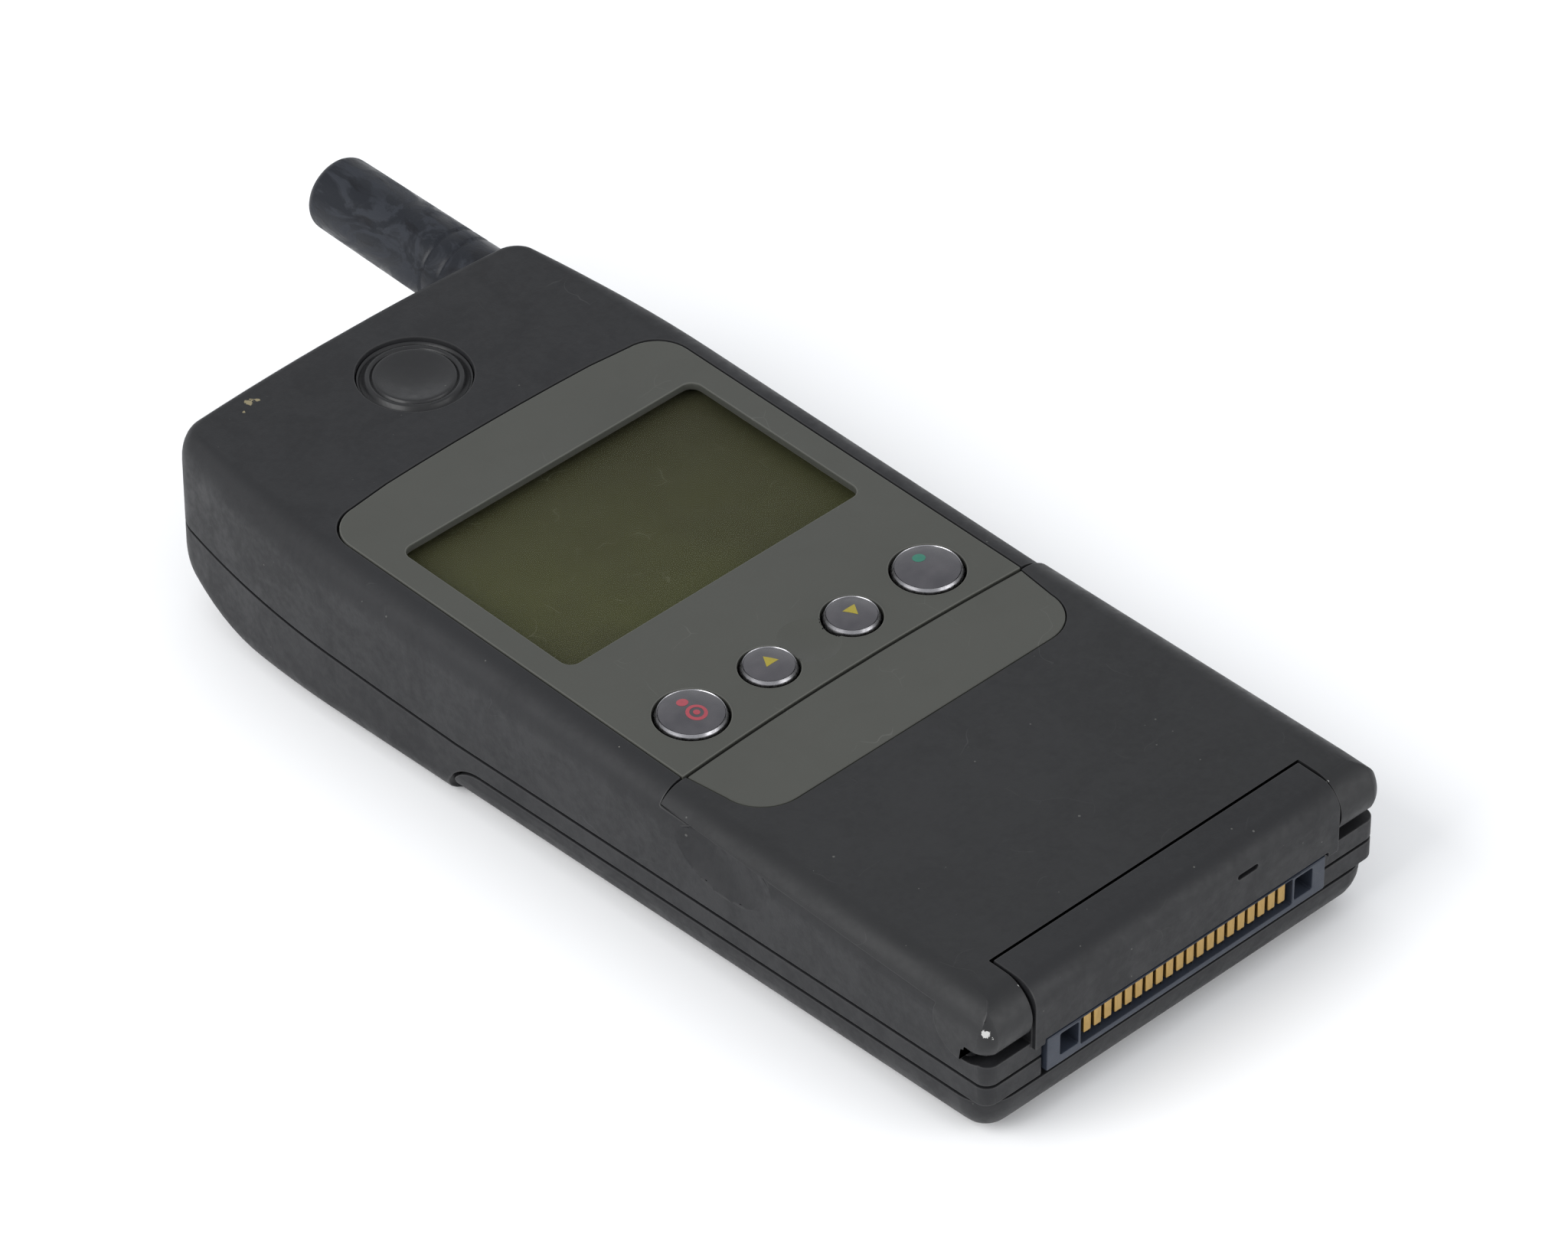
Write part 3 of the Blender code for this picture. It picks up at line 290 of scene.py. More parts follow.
class Look:
    """A node material on one Principled shader, with coordinates in metres on the object."""

    def __init__(self, name, colour, roughness, **sockets):
        self.material = bpy.data.materials.new(name)
        self.material.use_nodes = True
        self.tree = self.material.node_tree
        self.shader = self.tree.nodes["Principled BSDF"]
        self.colour = (*colour, 1.0)
        self.shader.inputs["Base Color"].default_value = self.colour
        self.shader.inputs["Roughness"].default_value = roughness
        for socket, value in sockets.items():
            self.shader.inputs[socket.replace("_", " ")].default_value = value
        self.place = self.tree.nodes.new("ShaderNodeTexCoord").outputs["Object"]
        self.height = None

    def node(self, kind, inputs, **settings):
        made = self.tree.nodes.new("ShaderNode" + kind)
        for key, value in settings.items():
            setattr(made, key, value)
        for key, value in inputs.items():
            socket = made.inputs[key]
            if isinstance(value, bpy.types.NodeSocket):
                self.tree.links.new(value, socket)
            else:
                socket.default_value = value
        return made

    def stretched(self, scale, turn=(0, 0, 0)):
        return self.node("Mapping", {"Vector": self.place, "Scale": scale, "Rotation": turn}).outputs[0]

    def noise(self, size_mm, detail=3, rough=0.55, where=None, warp=0.0):
        inputs = {"Vector": where or self.place, "Scale": 1 / (size_mm * MM), "Detail": detail,
                  "Roughness": rough, "Distortion": warp}
        return self.node("TexNoise", inputs).outputs["Fac"]

    def ranged(self, value, low, high, to_low=0.0, to_high=1.0):
        return self.node("MapRange", {"Value": value, "From Min": low, "From Max": high,
                                      "To Min": to_low, "To Max": to_high}).outputs[0]

    def maths(self, operation, a, b):
        return self.node("Math", {0: a, 1: b}, operation=operation).outputs[0]

    def mixed(self, fac, a, b):
        made = self.node("Mix", {0: fac, 6: a, 7: b}, data_type="RGBA")
        return made.outputs[2]

    def current(self):
        link = self.shader.inputs["Base Color"].links
        return link[0].from_socket if link else self.colour

    def paint(self, mask, colour):
        """Paint a colour over what is there, where the mask is 1."""
        made = self.mixed(mask, self.current(), (*colour, 1.0))
        self.tree.links.new(made, self.shader.inputs["Base Color"])

    def rough(self, mask, low, high):
        self.tree.links.new(self.ranged(mask, 0.0, 1.0, low, high), self.shader.inputs["Roughness"])

    def bump(self, height, depth_mm, strength=1.0):
        inputs = {"Height": height, "Distance": depth_mm * MM, "Strength": strength}
        if self.height:
            inputs["Normal"] = self.height
        self.height = self.node("Bump", inputs).outputs["Normal"]
        self.tree.links.new(self.height, self.shader.inputs["Normal"])

    def slope(self, direction, low, high):
        """A smooth change from 0 to 1 along a direction, between two distances in metres."""
        along = self.node("VectorMath", {0: self.place, 1: direction}, operation="DOT_PRODUCT")
        return self.ranged(along.outputs["Value"], low, high)

    def wear_and_glint_spot(self, point_mm, radius_mm, colour):
        """A spot with a ragged edge, at a point of the front frame: worn plastic, and on the flap also a
        painted glint.
        """
        middle = FRONT @ (Vector(point_mm) * MM)
        away = self.node("VectorMath", {0: self.place, 1: middle}, operation="DISTANCE")
        ragged = self.ranged(self.noise(0.35, 3, 0.7), 0.3, 0.7, 0.45 * radius_mm * MM, 1.5 * radius_mm * MM)
        self.paint(self.maths("LESS_THAN", away.outputs["Value"], ragged), colour)

    def specks(self, size_mm, share, radius, colour, strength=1.0, patch_mm=18.0):
        """Scattered grains of dust: share of the cells hold one, and patches of the surface hold more."""
        inputs = {"Vector": self.place, "Scale": 1 / (size_mm * MM), "Randomness": 1.0}
        cells = self.node("TexVoronoi", inputs)
        pick = self.node("SeparateColor", {"Color": cells.outputs["Color"]}).outputs[0]
        reach = self.ranged(pick, 1 - share, 1.0, 0.0, radius)
        patches = self.ranged(self.noise(patch_mm, 2), 0.35, 0.62, 0.35, 1.0)
        inside = self.maths("LESS_THAN", cells.outputs["Distance"], self.maths("MULTIPLY", reach, patches))
        self.paint(self.maths("MULTIPLY", inside, strength), colour)

    def hairs(self, size_mm, width, colour, strength):
        """Short curved scratches and fibres, from pieces of warped cell borders."""
        scale = 1 / (size_mm * MM)
        bend = self.node("TexNoise", {"Vector": self.place, "Scale": scale, "Detail": 2.0}).outputs["Color"]
        shifted = self.node("VectorMath", {0: bend, 1: (0.5, 0.5, 0.5)}, operation="SUBTRACT").outputs[0]
        reach = {0: shifted, "Scale": size_mm * MM * 0.9}
        scaled = self.node("VectorMath", reach, operation="SCALE").outputs[0]
        where = self.node("VectorMath", {0: self.place, 1: scaled}, operation="ADD").outputs[0]
        border = self.node("TexVoronoi", {"Vector": where, "Scale": scale}, feature="DISTANCE_TO_EDGE")
        line = self.ranged(border.outputs["Distance"], width * 0.5, width, 1.0, 0.0)
        broken = self.ranged(self.noise(size_mm * 0.7, 1), 0.6, 0.66)
        self.paint(self.maths("MULTIPLY", self.maths("MULTIPLY", line, broken), strength), colour)


def moulded(name, colour, roughness, grain_mm=0.22, grain_depth=0.012, dust=1.0, shine=0.08, wear_and_glint_spots=(),
            **sockets):
    """Moulded plastic with a fine spark-eroded grain, hand polish, slight shade changes and dust."""
    sockets.setdefault("Specular_IOR_Level", 0.3)
    look = Look(name, colour, roughness, **sockets)
    darker = [c * 0.82 for c in colour]
    lighter = [c * 1.2 for c in colour]
    look.paint(look.ranged(look.noise(24.0, 3), 0.35, 0.65, 0.0, 0.8), darker)
    look.paint(look.ranged(look.noise(1.1, 4, 0.7), 0.52, 0.75, 0.0, 0.5), lighter)
    if dust:
        look.specks(1.3, 0.30 * dust, 0.12, (0.085, 0.085, 0.08), 0.8)
        look.specks(3.4, 0.22 * dust, 0.05, (0.26, 0.25, 0.22), 0.9)
        look.hairs(8.0, 0.0035, (0.09, 0.09, 0.09), 0.16)
    # worn spots; on the flap they also stand for painted glints
    for point, radius, shade in wear_and_glint_spots:
        look.wear_and_glint_spot(point, radius, shade)
    wide = look.noise(9.0, 4, 0.6, warp=1.2)
    fine = look.ranged(look.noise(0.9, 2), 0.3, 0.7, -0.12, 0.12)
    smears = look.maths("ADD", wide, fine)
    look.rough(look.ranged(smears, 0.35, 0.68), roughness - shine, roughness + shine)
    look.bump(look.noise(6.0, 2), 0.02, 0.35)
    look.bump(look.noise(grain_mm, 2, 0.5), grain_depth, 0.8)
    return look.material


def painted_bezel(name, colour):
    """Warm grey paint with a fine metallic fleck, thin handling marks and a little dust."""
    look = Look(name, colour, 0.45, Specular_IOR_Level=0.3)
    look.paint(look.ranged(look.noise(0.16, 2, 0.6), 0.5, 0.75, 0.0, 0.35), [c * 1.25 for c in colour])
    look.paint(look.ranged(look.noise(17.0, 3), 0.4, 0.7, 0.0, 0.6), [c * 0.92 for c in colour])
    look.specks(2.4, 0.05, 0.05, (0.4, 0.39, 0.35), 0.6)
    look.hairs(8.0, 0.0035, (0.16, 0.16, 0.15), 0.2)
    look.rough(look.ranged(look.noise(7.0, 4, 0.6, warp=1.0), 0.35, 0.7), 0.38, 0.52)
    look.bump(look.noise(0.14, 2), 0.005, 0.6)
    return look.material


def antenna_rubber():
    """Black rubber, part polished and part dulled by handling, with creases and scuffs along it and painted
    shade in the creases.
    """
    look = Look("antenna_rubber_look", (0.008, 0.0095, 0.0135), 0.42, Specular_IOR_Level=0.25)
    blotch = look.noise(4.2, 4, 0.66, look.stretched((1.0, 0.55, 1.0), (0, 0, 0.5)), warp=2.0)
    look.paint(look.ranged(blotch, 0.46, 0.56), (0.019, 0.0215, 0.028))
    crease_and_shade = look.noise(1.9, 3, 0.6, look.stretched((1.0, 0.28, 1.0), (0, 0, 0.6)), warp=0.8)
    # painted shade: darker along the creases, where shade falls in them
    look.paint(look.ranged(crease_and_shade, 0.58, 0.66, 0.0, 0.9), (0.0035, 0.004, 0.0065))
    look.specks(2.2, 0.05, 0.05, (0.2, 0.2, 0.2), 0.5)
    look.rough(look.ranged(blotch, 0.42, 0.60), 0.34, 0.62)
    look.bump(blotch, 0.08, 0.8)
    look.bump(crease_and_shade, 0.05, 0.7)
    look.bump(look.noise(0.3, 2), 0.008, 0.6)
    return look.material


def display_olive():
    """Reflective liquid crystal display: olive, a little uneven, with painted shade towards the top and the
    right, and dust on the window above it.
    """
    look = Look("display_olive_look", (0.048, 0.0505, 0.0180), 0.6, Specular_IOR_Level=0.1)
    look.paint(look.ranged(look.noise(16.0, 2), 0.4, 0.65, 0.0, 0.7), (0.034, 0.0335, 0.0145))
    # painted shade: darker towards the top and the right, standing for the shadow of the window recess's far
    # walls
    look.paint(look.slope((0.5, 0.9, 0.0), -0.012, 0.022), (0.027, 0.0265, 0.0125))
    look.paint(look.ranged(look.noise(0.5, 2), 0.45, 0.7, 0.0, 0.08), (0.032, 0.034, 0.0135))
    look.specks(1.6, 0.08, 0.06, (0.13, 0.13, 0.09), 0.5)
    look.specks(4.5, 0.06, 0.045, (0.30, 0.30, 0.25), 0.7)
    look.hairs(5.5, 0.006, (0.13, 0.13, 0.09), 0.35)
    look.rough(look.ranged(look.noise(5.0, 3), 0.35, 0.65), 0.42, 0.58)
    return look.material


def clear_window():
    look = Look("clear_window_look", (0.12, 0.125, 0.09), 0.3, Alpha=0.03, Specular_IOR_Level=0.04)
    look.specks(3.0, 0.06, 0.04, (0.7, 0.7, 0.65), 0.8)
    look.rough(look.ranged(look.noise(8.0, 3), 0.4, 0.7), 0.15, 0.3)
    return look.material


def metal(name, colour, roughness, scale_mm=0.5, stretch=(1, 1, 1), spread=0.1):
    look = Look(name, colour, roughness, Metallic=1.0)
    streak = look.noise(scale_mm, 3, 0.6, look.stretched(stretch))
    look.paint(look.ranged(streak, 0.4, 0.75, 0.0, 0.6), [c * 0.78 for c in colour])
    look.rough(look.ranged(streak, 0.3, 0.7), roughness - spread, roughness + spread)
    look.bump(streak, 0.006, 0.6)
    return look.material


def smoky_cap():
    """Key cap of smoky clear plastic with a soft inner cloud and fine dust."""
    look = Look("smoky_cap_look", (0.032, 0.0305, 0.036), 0.24, Coat_Weight=0.2, Coat_Roughness=0.2)
    look.paint(look.ranged(look.noise(3.2, 2), 0.35, 0.7, 0.0, 0.6), (0.066, 0.062, 0.068))
    look.specks(1.1, 0.06, 0.06, (0.3, 0.3, 0.3), 0.45)
    look.rough(look.ranged(look.noise(1.4, 3), 0.35, 0.7), 0.2, 0.38)
    return look.material


def printed(name, colour):
    look = Look(name, colour, 0.4)
    look.paint(look.ranged(look.noise(0.25, 3), 0.55, 0.75, 0.0, 0.5), [c * 0.6 for c in colour])
    look.rough(look.noise(0.5, 2), 0.3, 0.5)
    return look.material


def circuit_board():
    look = Look("circuit_board_look", (0.02, 0.12, 0.05), 0.35)
    waves = {"Vector": look.place, "Scale": 420.0, "Distortion": 6.0, "Detail": 2.0}
    lanes = look.node("TexWave", waves).outputs["Fac"]
    look.paint(look.ranged(lanes, 0.72, 0.78), (0.04, 0.2, 0.08))
    pads = look.node("TexVoronoi", {"Vector": look.place, "Scale": 520.0}).outputs["Distance"]
    look.paint(look.ranged(pads, 0.12, 0.1), (0.75, 0.6, 0.3))
    look.rough(lanes, 0.28, 0.42)
    look.bump(lanes, 0.02)
    return look.material


def floor_look():
    look = Look("floor_look", (0.92, 0.92, 0.922), 0.6)
    look.paint(look.ranged(look.noise(60.0, 3), 0.4, 0.7, 0.0, 0.3), (0.90, 0.90, 0.905))
    look.rough(look.noise(30.0, 2), 0.55, 0.7)
    return look.material


PALE_WEAR_AND_GLINT, BEIGE = (0.42, 0.42, 0.41), (0.20, 0.17, 0.10)
BODY_CHIPS = (((-15.2, 118.4, -0.1), 0.5, BEIGE), ((-14.3, 118.1, 0.0), 0.25, BEIGE),
              ((-16.6, 117.6, 0.0), 0.16, BEIGE))
# painted highlight and wear: pale spots on the flap's knuckles and corner, standing both for worn plastic and
# for bright glints on those edges
FLAP_WEAR_AND_GLINTS = (((-26.4, 0.9, -1.4), 0.38, PALE_WEAR_AND_GLINT), ((-25.9, 0.55, -1.9), 0.2, PALE_WEAR_AND_GLINT),
              ((-26.6, 1.6, -3.2), 0.16, PALE_WEAR_AND_GLINT), ((-26.3, 44.9, -0.3), 0.3, PALE_WEAR_AND_GLINT),
              ((20.95, 2.2, 0.6), 0.16, PALE_WEAR_AND_GLINT), ((-20.95, 2.0, 0.6), 0.14, PALE_WEAR_AND_GLINT),
              ((26.4, 1.2, -1.2), 0.12, PALE_WEAR_AND_GLINT))
SHELL = moulded("shell_look", (0.0118, 0.0120, 0.0134), 0.55, wear_and_glint_spots=BODY_CHIPS)
# painted highlight: a lighter copy of the shell colour for the bevelled edges, standing for the light the
# rounded edges catch
SHELL_EDGE_HIGHLIGHT = moulded("shell_edge_highlight_look", (0.020, 0.020, 0.021), 0.42, dust=0.5)
FLAP = moulded("flap_look", (0.0125, 0.0127, 0.0136), 0.5, grain_mm=0.3, grain_depth=0.008,
               wear_and_glint_spots=FLAP_WEAR_AND_GLINTS)
EAR = moulded("ear_look", (0.0150, 0.0151, 0.0160), 0.34, grain_depth=0.006)
DEEP = moulded("deep_look", (0.007, 0.007, 0.008), 0.6, dust=0.3)
BEZEL = painted_bezel("bezel_look", (0.050, 0.0512, 0.0445))
# painted highlight: a lighter copy of the bezel paint for the bevelled edges, standing for the light rims the
# edges catch
BEZEL_EDGE_HIGHLIGHT = painted_bezel("bezel_edge_highlight_look", (0.078, 0.079, 0.070))
CONNECTOR = moulded("connector_look", (0.028, 0.034, 0.048), 0.42, dust=0.4)
GOLD = metal("gold_look", (0.44, 0.29, 0.105), 0.42, 0.35, (1, 1, 0.3))
RING = metal("ring_look", (0.34, 0.335, 0.35), 0.3, 0.4)
STEEL = metal("steel_look", (0.56, 0.56, 0.58), 0.32, 0.5, (0.2, 1, 1))
TIN = metal("tin_look", (0.66, 0.66, 0.67), 0.36, 1.2)
BRASS = metal("brass_look", (0.66, 0.46, 0.2), 0.34, 0.5)
BLACK_STEEL = metal("black_steel_look", (0.12, 0.12, 0.125), 0.4, 0.4)
CAP = smoky_cap()
OLIVE = display_olive()
RUBBER = antenna_rubber()


# ---------------------------------------------------------------- body surfaces

def back_z(y):
    rise = INSIDE
    if y > HEEL_START:
        rise = HEEL_RADIUS - math.sqrt(HEEL_RADIUS ** 2 - (y - HEEL_START) ** 2)
    return -(DEPTH + y * math.tan(TILT)) + rise


def seam_z(y):
    over = max(0.0, y - SEAM_BEND) / (LENGTH - SEAM_BEND)
    return -(DEPTH + y * math.tan(TILT)) + SEAM_HEIGHT + SEAM_RISE * over ** 1.3


def battery_z(y):
    return -(DEPTH + y * math.tan(TILT)) + BATTERY_HEIGHT


def corner_centre(shoulder, top):
    x0, y0 = HALF_WIDTH - SHOULDER_RADIUS, SHOULDER_Y
    x1, y1 = 0.0, LENGTH - TOP_EDGE_RADIUS
    gap = math.hypot(x1 - x0, y1 - y0)
    along = (shoulder ** 2 - top ** 2 + gap ** 2) / (2 * gap)
    off = math.sqrt(shoulder ** 2 - along ** 2)
    ux, uy = (x1 - x0) / gap, (y1 - y0) / gap
    return x0 + ux * along - uy * off, y0 + uy * along + ux * off


def body_half(inset=0.0, low_corner=BOTTOM_CORNER):
    """Right half of the body's outline, from the bottom end up to the top end."""
    bottom = max(low_corner - inset, 0.4)
    points = arc((HALF_WIDTH - inset - bottom, LOW_END + inset + bottom), bottom, -90, 0, 10)
    points += [(HALF_WIDTH - inset, y) for y in (15, 25, 35, 45, 55, 65, 75, 85, SHOULDER_Y)]
    centre = corner_centre(SHOULDER_RADIUS - TOP_CORNER, TOP_EDGE_RADIUS - TOP_CORNER)
    shoulder_centre = (HALF_WIDTH - SHOULDER_RADIUS, SHOULDER_Y)
    top_centre = (0.0, LENGTH - TOP_EDGE_RADIUS)
    turn = math.degrees(math.atan2(centre[1] - SHOULDER_Y, centre[0] - shoulder_centre[0]))
    end = math.degrees(math.atan2(centre[1] - top_centre[1], centre[0]))
    pieces = ((shoulder_centre, SHOULDER_RADIUS, 0, turn, 14), (centre, TOP_CORNER, turn, end, 9),
              (top_centre, TOP_EDGE_RADIUS, end, 90, 6))
    for middle, radius, start, stop, steps in pieces:
        for x, y in arc(middle, radius, start, stop, steps)[1:]:
            over = min(1.0, (y - SHOULDER_Y) / (LENGTH - 3 - SHOULDER_Y))
            share = inset * (1 - (1 - TOP_EDGE_SHARE) * over ** 2) / radius
            points.append((x + (middle[0] - x) * share, y + (middle[1] - y) * share))
    return points[:-1]


def battery_half(inset=0.0):
    return body_half(inset, BATTERY_CORNER)


def skin(levels, half=body_half):
    """A solid through levels of the outline, each (inset, height function), capped at both ends."""
    def build(shape):
        rings = []
        for inset, height in levels:
            right = half(inset)
            ring = [(x, y, height(y)) for x, y in right] + [(-x, y, height(y)) for x, y in right[::-1]]
            rings.append([shape.verts.new(point) for point in ring])
        count = len(rings[0])
        for lower, upper in zip(rings, rings[1:]):
            for i in range(count):
                j = (i + 1) % count
                shape.faces.new((lower[i], lower[j], upper[j], upper[i]))
        for ring in (rings[0], rings[-1]):
            for i in range(count // 2 - 1):
                shape.faces.new((ring[i], ring[i + 1], ring[count - 2 - i], ring[count - 1 - i]))
    return mesh_from(build)


def edge_levels(radius, surface, outward, steps=8):
    levels = []
    for i in range(steps + 1):
        angle = math.radians(90 * i / steps)
        drop = radius * (1 - math.cos(angle))
        levels.append((radius * (1 - math.sin(angle)), lambda y, drop=drop: surface(y) + outward * drop))
    return levels


def flat(value):
    return lambda y: value


BACK_TO_FRONT = SCALE.inverted() @ FRONT.inverted() @ BACK @ SCALE


def from_back(mesh):
    """A tool drawn in the back frame, brought into the front frame."""
    mesh.transform(BACK_TO_FRONT)
    return mesh


# ---------------------------------------------------------------- housings

def flap_arch(half, y):
    points = []
    for i in range(6):
        part = 1 - i / 6
        points.append((half * part, y + FLAP_BOW * (1 - part ** 2)))
    return points


def bezel_outline(grow=0.0, low=BEZEL_LOW):
    half = BEZEL_HALF + grow
    high = BEZEL_HIGH - 0.8 + grow
    right = flap_arch(half, low)[::-1]
    right += arc((half - BEZEL_CORNER, high - BEZEL_CORNER), BEZEL_CORNER, 0, 90, 10)
    right += [(half * (0.8 - i / 5), high + 0.8 * (1 - (0.8 - i / 5) ** 2)) for i in range(1, 4)]
    return [(0.0, low + FLAP_BOW)] + right + [(0.0, high + 0.8)] + [(-x, y) for x, y in right[::-1]]


def pad_places():
    labels = "123456789*0#"
    names = {"*": "star", "#": "hash"}
    places = []
    for index, label in enumerate(labels):
        row, column = divmod(index, 3)
        places.append((label, "key_" + names.get(label, label), (column - 1) * PAD_PITCH_X,
                       PAD_FIRST_Y + (3 - row) * PAD_PITCH_Y))
    return places


def key_holes(extra=0.0):
    def build(shape):
        for _, x, radius in FUNCTION_KEYS:
            add_cylinder(shape, "z", (x, KEY_ROW_Y, -6), (x, KEY_ROW_Y, 2), radius + GAP + extra, 56)
    return mesh_from(build)


def hinge_block():
    top, radius = FLAP_RAISE, 2.7
    slot_y = HINGE_Y + math.sqrt((BLOCK_CLEARANCE - 0.1) ** 2 - (top - HINGE_Z) ** 2)
    outline = [(slot_y, -6.6), (slot_y, top)] + arc((radius, top - radius), radius, 90, 180, 10)
    outline.append((INSIDE, -6.6))
    return side_profile(outline, BLOCK_HALF)


def knuckle_shelf():
    outer = KNUCKLE_RADIUS + 1.3
    curve = arc((HINGE_Y, HINGE_Z), outer, -90, 0, 14)
    return [(1.6, -1.0), (1.6, HINGE_Z - outer)] + curve + [(HINGE_Y + outer, -1.0)]


def knuckle_space(sign):
    inner, outer = sign * (BLOCK_HALF + 0.05), sign * (HALF_WIDTH + 3)
    clear = KNUCKLE_RADIUS + CLOSE_GAP
    end = -180 + math.degrees(math.asin((HINGE_Z - KNUCKLE_FLOOR) / clear))
    outline = arc((HINGE_Y, HINGE_Z), clear, 0, end, 24)
    outline += [(-3.0, KNUCKLE_FLOOR), (-3.0, 6.0), (HINGE_Y + clear, 6.0)]
    return side_profile(outline[::-1], abs(outer - inner) / 2, (outer + inner) / 2)


def thumb_scoop(sign):
    def build(shape):
        middle = (sign * (HALF_WIDTH + 1.7), 36.6, -3.0)
        matrix = Matrix.Translation(middle) @ Matrix.Diagonal((2.8, 8.6, 5.2, 1))
        bmesh.ops.create_uvsphere(shape, u_segments=48, v_segments=28, radius=1.0, matrix=matrix)
    return mesh_from(build)


def front_shell():
    rim = lambda y: seam_z(y) + GAP / 2
    levels = edge_levels(FRONT_EDGE, flat(-INSIDE), -1) + [(0.0, rim), (WALL, rim), (WALL, flat(-FRONT_WALL))]
    high = FLAP_TOP + CLOSE_GAP
    right = [(30, -4), (30, high)] + flap_arch(FLAP_HALF, high)
    flap_room = right + [(0.0, high + FLAP_BOW)] + [(-x, y) for x, y in right[::-1]]
    steps = [("join", curve_mesh([rounded_rectangle(HALF_WIDTH - WALL + 0.2, 4.0, 47.4, 0.5)],
                                 DECK_Z - DECK_THICK, -1.0))]
    for sign in (-1, 1):
        steps.append(("join", side_profile(knuckle_shelf(), 2.95, sign * (HALF_WIDTH - 3.95))))
    steps.append(("cut", curve_mesh([flap_room], SEAT_Z, 5)))
    steps.append(("cut", curve_mesh([rounded_rectangle(21.6, 9.6, 43.2, 3.0)], DECK_Z, 2)))
    holes = []
    for _, _, x, y in pad_places():
        half_x, half_y = PAD_KEY[0] / 2 + GAP, PAD_KEY[1] / 2 + GAP
        holes.append(rounded_rectangle(half_x, y - half_y, y + half_y, 2.2, 6, x))
    steps.append(("cut", curve_mesh(holes, -6, 0)))
    steps.append(("join", hinge_block()))
    steps.append(("cut", side_profile([(1.5, -8.4), (5.45, -8.4), (5.45, -0.95), (1.5, -0.95)], 15.0)))
    for sign in (-1, 1):
        steps.append(("cut", knuckle_space(sign)))
        steps.append(("cut", thumb_scoop(sign)))
    microphone_slot = curve_mesh([rounded_rectangle(1.35, -1.87, -1.33, 0.25, 5, 7.9)], -2.2, 1.0)
    microphone_slot.transform(Matrix(((1, 0, 0, 0), (0, 0, -1, 0), (0, 1, 0, 0), (0, 0, 0, 1))))
    steps.append(("cut", microphone_slot))
    steps.append(("cut", curve_mesh([bezel_outline(CLOSE_GAP, FLAP_TOP)], -(BEZEL_THICK + GAP), 2)))
    window = rounded_rectangle(WINDOW_HALF + 1.9, WINDOW_LOW - 1.9, WINDOW_HIGH + 1.9, 2.0)
    steps.append(("cut", curve_mesh([window], -4, 1)))
    steps.append(("cut", key_holes()))
    steps.append(("cut", cylinder("z", (0, EAR_Y, -1.2), (0, EAR_Y, 1), EAR_RADIUS - 0.2, 96)))
    socket_low, socket_high = (ANTENNA_X, 116.5, ANTENNA_Z), (ANTENNA_X, 126, ANTENNA_Z)
    steps.append(("cut", cylinder("y", socket_low, socket_high, ANTENNA_BASE + 0.08, 96)))
    room = [(-1, CONNECTOR_TOP + GAP), (6.5, CONNECTOR_TOP + GAP), (6.5, -14), (-1, -14)]
    steps.append(("cut", side_profile(room, CONNECTOR_HALF + GAP)))
    mesh = flatten(combine(skin(levels), *steps))
    piece("front_shell", mesh, SHELL, stands_for=("front_housing",), bevel=0.14,
          edge_look=SHELL_EDGE_HIGHLIGHT)


def battery_bay(grow):
    top = BATTERY_TOP + grow
    high = BATTERY_HEIGHT + grow
    radius = BATTERY_NOSE + grow
    nose = arc((top - radius, high - radius), radius, 0, 90, 14)
    return [(-3, -2), (top, -2)] + nose + [(-3, high)]


def rear_shell():
    rim = lambda y: seam_z(y) - GAP / 2
    levels = [(WALL, lambda y: back_z(y) + WALL), (WALL, rim), (0.0, rim)]
    levels += edge_levels(REAR_EDGE, back_z, 1)[::-1]
    wall_y, floor_top = BATTERY_TOP + 0.6, BATTERY_HEIGHT + 3.6
    low_tray = [(1.9, 5.0), (wall_y, 5.0), (wall_y, 1.0), (80.2, 1.0), (80.2, 7.9), (1.9, 7.9)]
    high_tray = [(4.6, 7.4), (80.2, 7.4), (80.2, floor_top), (4.6, floor_top)]
    steps = [("join", from_back(side_profile(low_tray, HALF_WIDTH - WALL + 0.5))),
             ("join", from_back(side_profile(high_tray, HALF_WIDTH - WALL - 0.35))),
             ("cut", from_back(side_profile(battery_bay(GAP), 30))),
             ("cut", from_back(boxes(((-22.9, RAISED_LOW - 2.7, 2), (22.9, 72.5, BATTERY_HEIGHT + 2.4))))),
             ("cut", from_back(boxes(((-23.5, 1.4, 5.0), (-19.9, 5.2, 6.9)),
                                     ((19.9, 1.4, 5.0), (23.5, 5.2, 6.9)))))]
    for x, y in SCREW_PLACES:
        floor = back_z(y) if y > BATTERY_TOP else battery_z(y) + 2.4
        steps.append(("join", cylinder("z", (x, y, floor + 0.8), (x, y, -8.2), 2.7, 40)))
        steps.append(("cut", cylinder("z", (x, y, floor - 3), (x, y, -5), 0.95, 32)))
        steps.append(("cut", cylinder("z", (x, y, floor - 3), (x, y, SCREW_HEAD_Z), 1.8, 40)))
    latch_window = curve_mesh([rounded_rectangle(7.4, 80.9, 86.6, 0.9)], -1, 3.4)
    steps.append(("cut", from_back(latch_window)))
    steps.append(("cut", from_back(boxes(((-4.3, 76, 2.0), (4.3, 82, 3.6))))))
    connector_room = [(-1, 12), (-1, 5), (7.2, 5), (7.2, 12)]
    steps.append(("cut", from_back(side_profile(connector_room, CONNECTOR_HALF + GAP))))
    mesh = flatten(combine(skin(levels), *steps))
    piece("rear_shell", mesh, SHELL, stands_for=("rear_housing",), bevel=0.14,
          edge_look=SHELL_EDGE_HIGHLIGHT)


